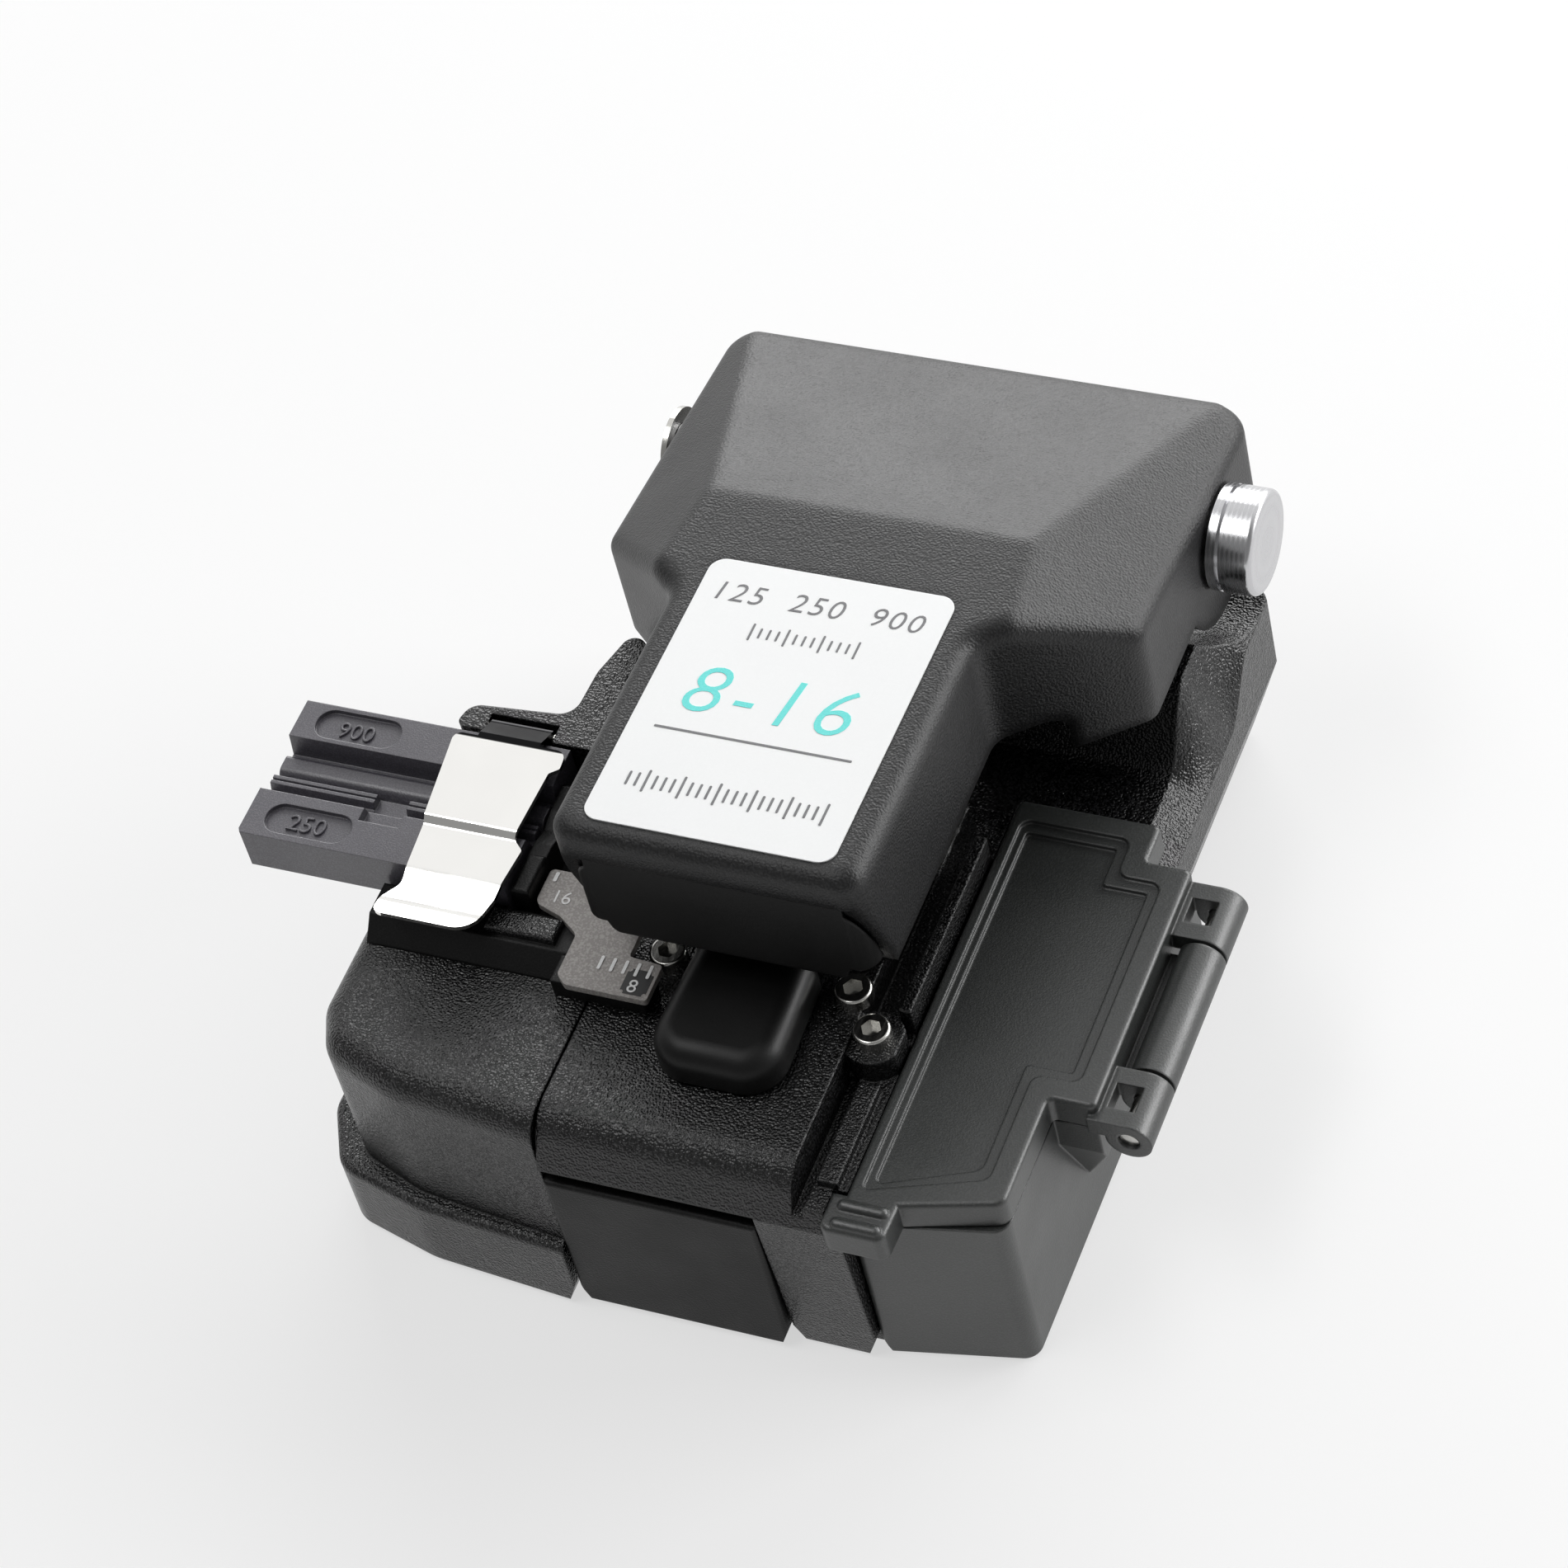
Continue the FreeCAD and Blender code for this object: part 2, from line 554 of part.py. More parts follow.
# ---- lever ------------------------------------------------------------------
def top_z(y):
    """Height of the lever's top face over y, front of the crease."""
    return LEVER_TOP_Z + (WING_FRONT - 4 - y) * LEVER_RISE / (WING_FRONT - 4 - NOSE_FRONT)


def lever_form(inset, floor_z):
    """Closed outer form of the lever cover, shrunk by inset."""
    nose = NOSE_HALF - inset
    wide = LEVER_HALF - inset
    half = [(nose, NOSE_FRONT + inset, 1.8), (nose, NOSE_BACK + inset, 2.4), (wide, WING_FRONT + inset, 1.6),
            (wide, LEVER_BACK - inset, 2.2)]
    outline = half + [(-x, y, r) for x, y, r in reversed(half)]
    form = plan(outline, floor_z, LEVER_TOP_Z + 8)
    roof = side([(NOSE_FRONT - 5, floor_z - 1), (NOSE_FRONT - 5, top_z(NOSE_FRONT - 5) - inset),
                 (CREASE_Y, top_z(CREASE_Y) - inset), (LEVER_BACK, LEVER_TAIL_Z - inset),
                 (LEVER_BACK, floor_z - 1)], -40, 40)
    form = form.common(roof)
    for sign in (-1, 1):
        crease = V(sign * 13.0, CREASE_Y, top_z(CREASE_Y))
        belt = V(sign * LEVER_HALF, WING_FRONT, BELT_FRONT_Z)
        tail = V(sign * LEVER_HALF, LEVER_BACK, BELT_BACK_Z)
        form = form.cut(above(crease, belt, tail, inset))
    return form


def lever_underside():
    """What is cut away below the nose, and below the rear wall."""
    deep = WING_Z - 1
    nose = side([(NOSE_FRONT - 2, deep), (NOSE_FRONT - 2, NOSE_LIP_Z), (NOSE_FRONT + 0.4, NOSE_LIP_Z),
                 (NOSE_FRONT + 3.2, NOSE_SIDE_Z), (WING_FRONT, NOSE_SIDE_Z), (WING_FRONT, deep)],
                -WING_HALF, WING_HALF)
    nose = round_edges(nose, 1.5, lambda e: abs(abs(e.CenterOfMass.x) - WING_HALF) < 0.01
                       and level_at(NOSE_SIDE_Z)(e))
    mouth = box(-NOSE_HALF + LEVER_WALL, NOSE_HALF - LEVER_WALL, NOSE_FRONT - 2, NOSE_FRONT + LEVER_WALL + 1, deep,
                NOSE_LIP_Z)
    tail = box(-LEVER_HALF + 1, LEVER_HALF - 1, LEVER_BACK - 4, LEVER_BACK + 2, deep, TAIL_Z)
    return [nose, mouth, tail]


def lever_cover():
    floor_z = WING_Z
    cover = lever_form(0, floor_z)
    cover = round_edges(cover, LEVER_ROUND, lambda e: (e.BoundBox.ZMax > BELT_BACK_Z - 1
                                                       and e.BoundBox.ZMin > WING_Z + 1))
    cover = cover.cut(lever_form(LEVER_WALL, floor_z - 2))
    for cutter in lever_underside():
        cover = cover.cut(cutter)
    for sign in (-1, 1):
        outer = sign * LEVER_HALF
        inner = sign * (LEVER_HALF - LEVER_WALL)
        boss_end = sign * (EAR_X + EAR_T + SEAT)
        lug = cyl_x(min(outer, inner), max(outer, inner), PIN_Y, PIN_Z, LUG_R)
        lug = lug.cut(box(-40, 40, PIN_Y - 20, PIN_Y + 20, PIN_Z + 1, PIN_Z + 20))
        boss = cyl_x(min(outer, boss_end), max(outer, boss_end), PIN_Y, PIN_Z, LUG_BOSS_R)
        cover = join(cover, lug, boss)
    cover = cover.cut(cyl_x(-40, 40, PIN_Y, PIN_Z, PIN_R + FIT))
    for x, y in FRAME_SCREWS:
        post = cyl_z(FRAME_Z + FRAME_T, top_z(y) - LEVER_WALL / 2, x, y, 2.0)
        cover = join(cover, post.cut(cyl_z(FRAME_Z, FRAME_Z + FRAME_T + 3, x, y, SCREW_R + FIT)))
    return cover.cut(label_block(LABEL_T * 0.6))


def label_block(depth):
    """Label plate lying in a shallow pocket of the sloping top face."""
    half = LABEL_W / 2
    plate = plan([(-half, 0, 1.3), (half, 0, 1.3), (half, LABEL_L, 1.3), (-half, LABEL_L, 1.3)], 0, LABEL_T)
    slope = math.degrees(math.atan(LEVER_RISE / (WING_FRONT - 4 - NOSE_FRONT)))
    plate.rotate(V(0, 0, 0), V(1, 0, 0), -slope)
    plate.translate(V(0, LABEL_FRONT, top_z(LABEL_FRONT) - depth))
    return plate


def lever_label():
    return label_block(LABEL_T * 0.6)


FRAME_SCREWS = [(-8.0, -12.6), (8.0, -12.6), (-8.0, 3.0), (8.0, 3.0)]
FRAME_BACK = 6.0
SKIRT_T = 1.6


def lever_frame():
    """Inner chassis of the nose: a floor, the front plate and its two returns at the corners."""
    inner = NOSE_HALF - LEVER_WALL - SEAM
    outer = NOSE_HALF - 0.6
    y0 = NOSE_FRONT + 0.6
    floor = box(-inner, inner, NOSE_FRONT + 2.0, FRAME_BACK, FRAME_Z, FRAME_Z + FRAME_T)
    plate = front([(-inner + 1.0, SKIRT_Z, 0.8), (inner - 1.0, SKIRT_Z, 0.8), (inner, SKIRT_Z + 2.6, 1.0),
                   (inner, NOSE_LIP_Z - SEAM, 0), (-inner, NOSE_LIP_Z - SEAM, 0), (-inner, SKIRT_Z + 2.6, 1.0)],
                  y0, y0 + SKIRT_T)
    around = [(-outer, y0, 1.6), (outer, y0, 1.6), (outer, y0 + 5, 0), (-outer, y0 + 5, 0)]
    within = [(-inner + 0.4, y0 + SKIRT_T, 0), (inner - 0.4, y0 + SKIRT_T, 0), (inner - 0.4, y0 + 6, 0),
              (-inner + 0.4, y0 + 6, 0)]
    returns = plan(around, SKIRT_Z + 1.2, NOSE_LIP_Z).cut(plan(within, 0, 60))
    ahead = side([(NOSE_FRONT - 1, 0), (NOSE_FRONT + 3.2 - SEAM, 0), (NOSE_FRONT + 3.2 - SEAM, NOSE_SIDE_Z - SEAM),
                  (NOSE_FRONT + 0.4 - SEAM, NOSE_LIP_Z - SEAM), (NOSE_FRONT - 1, NOSE_LIP_Z - SEAM)], -30, 30)
    frame = join(floor, plate, returns.common(ahead))
    for x, y in FRAME_SCREWS:
        frame = frame.cut(cyl_z(FRAME_Z - 1, FRAME_Z + FRAME_T + 1, x, y, SCREW_R + FIT))
    return frame


def lever_screws():
    """Four small screws up into the frame's posts."""
    made = []
    for x, y in FRAME_SCREWS:
        one = screw(x, y, 0, 4.6, head_r=1.6, head_h=1.0)
        one.rotate(V(x, y, 0), V(1, 0, 0), 180)
        one.translate(V(0, 0, FRAME_Z))
        made.append(one)
    return Part.makeCompound(made)


def upper_clamp(sign):
    """Clamp block under the lever frame, on one side of the cleave plane."""
    x0 = min(sign * CLAMP_GAP, sign * (CLAMP_GAP + CLAMP_W))
    block = side([(FIBRE_Y - CLAMP_L / 2 + 1, FIBRE_Z + PAD_T), (FIBRE_Y + CLAMP_L / 2 - 1, FIBRE_Z + PAD_T),
                  (FIBRE_Y + CLAMP_L / 2, FIBRE_Z + PAD_T + 1.2), (FIBRE_Y + CLAMP_L / 2, FRAME_Z),
                  (FIBRE_Y - CLAMP_L / 2, FRAME_Z), (FIBRE_Y - CLAMP_L / 2, FIBRE_Z + PAD_T + 1.2)],
                 x0, x0 + CLAMP_W)
    return block


def pads(z0, z1):
    """Two rubber clamp pads, one each side of the cleave plane."""
    made = []
    for sign in (-1, 1):
        x0 = min(sign * (CLAMP_GAP + 0.4), sign * (CLAMP_GAP + CLAMP_W - 0.4))
        pad = box(x0, x0 + CLAMP_W - 0.8, FIBRE_Y - 1.8, FIBRE_Y + 1.8, z0, z1)
        made.append(pad)
    return Part.makeCompound(made)


def anvil():
    """Spring-held anvil bar that bends the scored fibre."""
    foot = box(-1.2, 1.2, FIBRE_Y - 2.2, FIBRE_Y + 2.2, FIBRE_Z + 1.4, FIBRE_Z + 3.4)
    stem = cyl_z(FIBRE_Z + 3.0, FRAME_Z, 0, FIBRE_Y, 1.1)
    return join(foot, stem)


def anvil_pad():
    return box(-1.0, 1.0, FIBRE_Y - 1.6, FIBRE_Y + 1.6, FIBRE_Z + 0.5, FIBRE_Z + 1.4)


DRIVE_Y = PIN_Y
DRIVE_Z = PIN_Z - ARM_R
DRIVE_PIN_R = 1.0
DRIVE_EYE_R = 2.1
LINK_PLAY = 0.45      # lets the steady drive ratio follow the pin's arc


def drive_arm():
    """Steel yoke on the lever: two cheeks and a cross pin under the hinge."""
    made = []
    for sign in (-1, 1):
        x0 = min(sign * (LINK_T / 2 + SEAT), sign * (LINK_T / 2 + SEAT + 1.6))
        cheek = join(side([(PIN_Y - DRIVE_EYE_R, DRIVE_Z), (PIN_Y + DRIVE_EYE_R, DRIVE_Z), (PIN_Y + 4.2, PIN_Z),
                           (PIN_Y - 4.2, PIN_Z)], x0, x0 + 1.6),
                     cyl_x(x0, x0 + 1.6, PIN_Y, DRIVE_Z, DRIVE_EYE_R), cyl_x(x0, x0 + 1.6, PIN_Y, PIN_Z, 4.2))
        made.append(cheek)
    pin = cyl_x(-LINK_T / 2 - SEAT - 2.0, LINK_T / 2 + SEAT + 2.0, DRIVE_Y, DRIVE_Z, DRIVE_PIN_R)
    bridge = box(-LINK_T / 2 - SEAT - 1.6, LINK_T / 2 + SEAT + 1.6, PIN_Y - 8.5, PIN_Y - 2.4,
                 PIN_Z + 2.6, PIN_Z + 4.2)
    riser = side([(PIN_Y - 10.0, PIN_Z + 2.6), (PIN_Y - 8.0, PIN_Z + 2.6), (PIN_Y - 8.0, arm_roof(PIN_Y - 8.0)),
                  (PIN_Y - 10.0, arm_roof(PIN_Y - 10.0))], -5.0, 5.0)
    arm = join(made[0], made[1], pin, bridge, riser)
    return arm.cut(cyl_x(-20, 20, PIN_Y, PIN_Z, PIN_R + FIT))


def arm_roof(y):
    """Underside of the lever's rear roof at y."""
    fall = (top_z(CREASE_Y) - LEVER_TAIL_Z) / (LEVER_BACK - CREASE_Y)
    return top_z(CREASE_Y) - LEVER_WALL - (y - CREASE_Y) * fall


WIRE_R = 0.42


def lever_springs():
    """Two close-wound torsion springs round the hinge pin."""
    coil = PIN_R + FIT + WIRE_R
    made = []
    for sign in (-1, 1):
        for turn in range(5):
            ring = Part.makeTorus(coil, WIRE_R, V(sign * (7.4 + turn * 2 * WIRE_R), PIN_Y, PIN_Z), V(1, 0, 0))
            made.append(ring)
        foot = V(sign * 7.4, PIN_Y - 9.0, REAR_HIGH_Z + WIRE_R)
        reach = foot - V(sign * 7.4, PIN_Y, PIN_Z - coil)
        made.append(Part.makeCylinder(WIRE_R, reach.Length, foot - reach, reach))
    left = join(*made[:6])
    right = join(*made[6:])
    return Part.makeCompound([left, right])


# ---- carriage and blade -----------------------------------------------------
RAIL_TOP = PLATE_TOP + RAIL_H
RAIL_FRONT = -26.0
RAIL_BACK = CENTRE_BACK - WALL - 0.6
BLADE_Z = DECK_Z + BLADE_OVER - BLADE_R
CARRIAGE_FRONT = -20.0
CARRIAGE_BACK = 4.4
FORK_IN = BLADE_T / 2 + 1.0
LINK_FRONT_Y = CARRIAGE_BACK + 5.0
HUB_R = 2.6
CHEEK_R = 3.1


def guide_rail():
    """Dovetailed slide rail with two fixing holes."""
    rail = front([(-RAIL_HALF, PLATE_TOP), (RAIL_HALF, PLATE_TOP), (RAIL_HALF, PLATE_TOP + 1.4),
                  (RAIL_HALF - 1.0, PLATE_TOP + 2.2), (RAIL_HALF - 1.0, PLATE_TOP + 3.0), (RAIL_HALF, RAIL_TOP),
                  (-RAIL_HALF, RAIL_TOP), (-RAIL_HALF + 1.0, PLATE_TOP + 3.0), (-RAIL_HALF + 1.0, PLATE_TOP + 2.2),
                  (-RAIL_HALF, PLATE_TOP + 1.4)], RAIL_FRONT, RAIL_BACK)
    for x, y in rail_screw_places():
        rail = rail.cut(cyl_z(PLATE_TOP - 1, RAIL_TOP + 1, x, y, SCREW_R + FIT))
        rail = rail.cut(cyl_z(RAIL_TOP - 1.7, RAIL_TOP + 1, x, y, SCREW_HEAD_R + 0.2))
    return rail


def rail_screw_places():
    return [(0, RAIL_FRONT + 4), (0, RAIL_BACK - 4)]


def rail_screws():
    return screws(rail_screw_places(), RAIL_TOP - 1.7, RAIL_H - 1.7 + PLATE_T)


def carriage_slide():
    """Slider that wraps the rail and carries the blade between two cheeks."""
    gap = 0.1
    foot = box(-CARRIAGE_HALF, CARRIAGE_HALF, CARRIAGE_FRONT, CARRIAGE_BACK, PLATE_TOP + SEAT, RAIL_TOP + 3.0)
    way = front([(-RAIL_HALF - gap, 0), (RAIL_HALF + gap, 0), (RAIL_HALF + gap, PLATE_TOP + 1.4),
                 (RAIL_HALF - 1.0 + gap, PLATE_TOP + 2.2), (RAIL_HALF - 1.0 + gap, PLATE_TOP + 3.0),
                 (RAIL_HALF + gap, RAIL_TOP), (RAIL_HALF + gap, RAIL_TOP + gap), (-RAIL_HALF - gap, RAIL_TOP + gap),
                 (-RAIL_HALF - gap, RAIL_TOP), (-RAIL_HALF + 1.0 - gap, PLATE_TOP + 3.0),
                 (-RAIL_HALF + 1.0 - gap, PLATE_TOP + 2.2), (-RAIL_HALF - gap, PLATE_TOP + 1.4)], -60, 60)
    cheeks = []
    for sign in (-1, 1):
        x0 = min(sign * FORK_IN, sign * (FORK_IN + 2.2))
        cheeks.append(join(box(x0, x0 + 2.2, BLADE_REST_Y - CHEEK_R, BLADE_REST_Y + CHEEK_R, RAIL_TOP + 2.0, BLADE_Z),
                           cyl_x(x0, x0 + 2.2, BLADE_REST_Y, BLADE_Z, CHEEK_R)))
    post = box(-NECK_HALF, NECK_HALF, NECK_FRONT, NECK_BACK, RAIL_TOP + 2.0, DECK_Z + SEAT)
    lug = join(box(-1.2 - 1.6 - SEAT, 1.2 + 1.6 + SEAT, CARRIAGE_BACK - 2, LINK_FRONT_Y, LINK_Z - 2.2, LINK_Z + 2.2),
               cyl_x(-1.2 - 1.6 - SEAT, 1.2 + 1.6 + SEAT, LINK_FRONT_Y, LINK_Z, 2.2))
    riser = box(-3.1, 3.1, CARRIAGE_BACK - 2.0, CARRIAGE_BACK, RAIL_TOP + 2.0, LINK_Z + 2.2)
    body = join(foot, post, riser, lug, *cheeks)
    body = body.cut(way)
    body = body.cut(box(-FORK_IN, FORK_IN, BLADE_REST_Y - BLADE_R - 0.6, BLADE_REST_Y + BLADE_R + 0.6,
                        BLADE_Z - BLADE_R - 0.5, DECK_Z))
    body = body.cut(box(-LINK_T / 2 - SEAT, LINK_T / 2 + SEAT, CARRIAGE_BACK - 0.4, LINK_FRONT_Y + 4,
                        LINK_Z - 4, LINK_Z + 4))
    body = body.cut(cyl_x(-20, 20, LINK_FRONT_Y, LINK_Z, 1.0))
    return body.cut(cyl_x(-20, 20, BLADE_REST_Y, BLADE_Z, 1.5))


def carriage_cover():
    """Smooth rounded block on the deck that the carriage's neck carries."""
    block = plan([(-COVER_HALF + 0.5, COVER_BACK, 1.0), (-COVER_HALF, COVER_FRONT, 3.0),
                  (COVER_HALF, COVER_FRONT, 3.0), (COVER_HALF - 0.5, COVER_BACK, 1.0)], DECK_Z + SEAT, COVER_Z)
    return round_edges(block, 1.8, level_at(COVER_Z))


def blade_wheel():
    """Circular carbide blade with a bevelled rim."""
    flat = BLADE_T / 2
    wheel = cyl_x(-flat, flat, BLADE_REST_Y, BLADE_Z, BLADE_R - 1.0)
    for sign in (-1, 1):
        rim = Part.makeCone(BLADE_R - 1.0, BLADE_R, flat, V(sign * flat, BLADE_REST_Y, BLADE_Z), V(-sign, 0, 0))
        wheel = wheel.fuse(rim)
    wheel = wheel.removeSplitter()
    return wheel.cut(cyl_x(-5, 5, BLADE_REST_Y, BLADE_Z, 1.5))


def blade_hub():
    """Axle with a head at one end that clamps the blade."""
    axle = cyl_x(-FORK_IN - 2.2 - 0.6, FORK_IN + 2.2 + 0.6, BLADE_REST_Y, BLADE_Z, 1.5 - FIT)
    collars = []
    for sign in (-1, 1):
        x0 = min(sign * BLADE_T / 2, sign * (FORK_IN - 0.2))
        collars.append(cyl_x(x0, x0 + FORK_IN - 0.2 - BLADE_T / 2, BLADE_REST_Y, BLADE_Z, HUB_R))
    head = cyl_x(FORK_IN + 2.3, FORK_IN + 3.4, BLADE_REST_Y, BLADE_Z, HUB_R)
    return join(axle, head, *collars)


def drive_link():
    """Flat link from the lever's drive pin to the carriage; its front eye is wide for the arc."""
    y0, y1 = LINK_FRONT_Y, DRIVE_Y
    reach = LINK_T / 2
    bar = side([(y0, LINK_Z - 1.5), (y1, DRIVE_Z - DRIVE_EYE_R), (y1, DRIVE_Z + DRIVE_EYE_R), (y0, LINK_Z + 1.5)],
               -reach, reach)
    bar = join(bar, cyl_x(-reach, reach, y0, LINK_Z, DRIVE_EYE_R), cyl_x(-reach, reach, y1, DRIVE_Z, DRIVE_EYE_R))
    bar = bar.cut(cyl_x(-5, 5, y0, LINK_Z, DRIVE_PIN_R + LINK_PLAY))
    return bar.cut(cyl_x(-5, 5, y1, DRIVE_Z, DRIVE_PIN_R + FIT))


def link_pin():
    """Rivet that joins the link to the carriage."""
    reach = 1.2 + 1.6 + SEAT
    return join(cyl_x(-reach, reach, LINK_FRONT_Y, LINK_Z, 1.0),
                cyl_x(reach, reach + 0.6, LINK_FRONT_Y, LINK_Z, 1.7))


# ---- deck pieces ------------------------------------------------------------
def lower_clamp(sign):
    """Lower clamp block on the deck with a fibre groove across it."""
    x0 = min(sign * CLAMP_GAP, sign * (CLAMP_GAP + CLAMP_W))
    block = side([(FIBRE_Y - CLAMP_L / 2, DECK_Z), (FIBRE_Y + CLAMP_L / 2, DECK_Z),
                  (FIBRE_Y + CLAMP_L / 2, FIBRE_Z - PAD_T - 1.2), (FIBRE_Y + CLAMP_L / 2 - 1, FIBRE_Z - PAD_T),
                  (FIBRE_Y - CLAMP_L / 2 + 1, FIBRE_Z - PAD_T), (FIBRE_Y - CLAMP_L / 2, FIBRE_Z - PAD_T - 1.2)],
                 x0, x0 + CLAMP_W)
    return block


BED_FRONT = -18.2
PLATE_FRONT = -19.8    # scale plate
PLATE_RIGHT = -6.7
PLATE_STEP_Y = -16.4
GUIDE_RIGHT = -18.9
BED_LEFT = -31.2
BED_RIGHT = CENTRE_LEFT - 1.6


def adapter_bed():
    """Platform under the adapter: chamfered front, floor, a front wall and the scale plate's foot."""
    bed = side([(BED_FRONT, DECK_Z), (FENCE_FRONT, DECK_Z), (FENCE_FRONT, BED_FLOOR), (BAR_FRONT - SEAT, BED_FLOOR),
                (BAR_FRONT - SEAT, SCALE_Z), (BED_FRONT + 1.6, SCALE_Z)], BED_LEFT, BED_RIGHT)
    foot = box(BED_RIGHT - 1.0, PLATE_RIGHT - 0.6, PLATE_FRONT + 0.5, PLATE_STEP_Y - 0.5, DECK_Z, SCALE_Z)
    return join(bed, foot)



def grip_strip():
    """Raised ribbed strip on the bed's front wall."""
    strip = box(-21.6, -15.8, -16.2, -14.2, SCALE_Z, SCALE_Z + 0.7)
    return round_edges(strip, 0.3, level_at(SCALE_Z + 0.7))


def fibre_guide():
    """Black block at the adapter's inner end with a V groove for the fibre."""
    top = LEAF_PIN_Z - 0.5
    return side([(FIBRE_Y - 2.8, BED_FLOOR), (FIBRE_Y + 5.0, BED_FLOOR), (FIBRE_Y + 5.0, top - 1.0),
                 (FIBRE_Y + 4.0, top), (FIBRE_Y + 1.6, top), (FIBRE_Y, FIBRE_Z - 0.3), (FIBRE_Y - 1.6, top),
                 (FIBRE_Y - 2.8, top)], BAR_RIGHT + SEAT, GUIDE_RIGHT)


def guide_cap():
    """Low grey block in front of the fibre guide."""
    block = box(BAR_RIGHT + SEAT, GUIDE_RIGHT, BAR_FRONT + 0.2, FIBRE_Y - 2.8, BED_FLOOR, FIBRE_Z + 0.4)
    return round_edges(block, 0.3, level_at(FIBRE_Z + 0.4))


def scale_plate():
    """Thin stepped plate that carries the cleave-length scale."""
    outline = [(-18.6, -13.1, 0.8), (-16.2, -13.9, 0.5), (-14.3, -15.2, 0.8), (-14.3, -19.0, 0.6),
               (-13.4, PLATE_FRONT, 0.6), (PLATE_RIGHT, PLATE_FRONT, 0.3), (PLATE_RIGHT, PLATE_STEP_Y, 0.3),
               (-9.5, PLATE_STEP_Y + 0.2, 0.3), (-9.5, -13.4, 0), (-13.6, -10.4, 0), (-13.6, -9.8, 0),
               (-18.6, -9.8, 0.4)]
    return plan(outline, SCALE_Z, SCALE_Z + SCALE_T)


def adapter_bar():
    """Fibre adapter: grooved bar with a recessed size pad at each side."""
    top = BAR_BOTTOM + BAR_T
    back = BAR_FRONT + BAR_W
    mid = FIBRE_Y
    floor = top - TROUGH_D
    wall = mid + TROUGH_W / 2
    section = [(BAR_FRONT, BAR_BOTTOM), (back, BAR_BOTTOM), (back, top), (wall + 0.5, top),
               (wall + 0.2, floor), (wall - 0.2, floor), (wall - 0.6, floor + 0.8, 0.4),
               (wall - 2.0, floor + 0.8, 0.7), (wall - 2.5, floor), (mid, floor), (mid - 0.1, floor + 1.1),
               (mid - 0.4, floor + 1.1), (mid - 0.5, floor + 0.8), (mid - 0.6, floor + 1.1),
               (mid - 0.9, floor + 1.1), (mid - 1.1, floor + 0.4), (mid - 1.6, floor + 0.4),
               (mid - 2.2, top), (BAR_FRONT, top)]
    bar = side(section, BAR_LEFT, BAR_RIGHT)
    bar = bar.cut(plan([(BAR_LEFT - 1, BAR_FRONT - 1), (BAR_LEFT + 0.8, BAR_FRONT - 1),
                        (BAR_LEFT - 1, BAR_FRONT + 2)], BAR_BOTTOM - 1, top + 1))
    for y in (BAR_FRONT + 2.0, back - 1.8):
        pocket = plan([(BAR_LEFT + 1.6, y - 1.4, 1.35), (BAR_LEFT + 8.9, y - 1.4, 1.35),
                       (BAR_LEFT + 8.9, y + 1.4, 1.35), (BAR_LEFT + 1.6, y + 1.4, 1.35)], top - 0.4, top + 1)
        bar = bar.cut(pocket)
    slot = box(-34.4, -31.6, mid - 1.6, mid + 0.4, floor + 0.3, top + 1)
    step = box(-34.4, -31.0, mid - 3.4, mid - 1.2, top - 0.9, top + 1)
    return bar.cut(slot).cut(step)


def leaf_path():
    """Side line of the spring leaf: flat, rounded step down, slope and upturned end."""
    low = BAR_BOTTOM + BAR_T + LEAF_CLEAR
    return [(LEAF_BACK, low + LEAF_STEP, 0), (LEAF_CRANK_Y + 0.3, low + LEAF_STEP, 0.5),
            (LEAF_CRANK_Y - 0.3, low, 0.5), (BAR_FRONT - SEAT, low, 2.0), (LEAF_FRONT + 1.6, low - 0.8, 1.0),
            (LEAF_FRONT, low - 0.2, 0)]


def leaf_outline():
    """Plan of the leaf: tapered, notched beside the fibre guide, thumb tab flared to the left."""
    return [(LEAF_LEFT, LEAF_BACK, 0.7), (LEAF_LEFT + 1.0, LEAF_CRANK_Y, 0),
            (LEAF_LEFT + 1.5, LEAF_FRONT + 3.1, 1.0), (LEAF_LEFT + 0.1, LEAF_FRONT + 1.7, 0.6),
            (LEAF_LEFT + 0.3, LEAF_FRONT, 0.9), (LEAF_RIGHT - 1.7, LEAF_FRONT, 1.6),
            (LEAF_RIGHT - 0.4, LEAF_FRONT + 3.3, 1.2), (LEAF_RIGHT, LEAF_CRANK_Y - 1.0, 0.3),
            (LEAF_RIGHT - 0.9, LEAF_CRANK_Y - 0.2, 0.3), (LEAF_RIGHT - 0.65, LEAF_BACK - 2.3, 0.3),
            (LEAF_RIGHT + 0.05, LEAF_BACK - 1.7, 0.3), (LEAF_RIGHT - 0.1, LEAF_BACK, 0.9)]




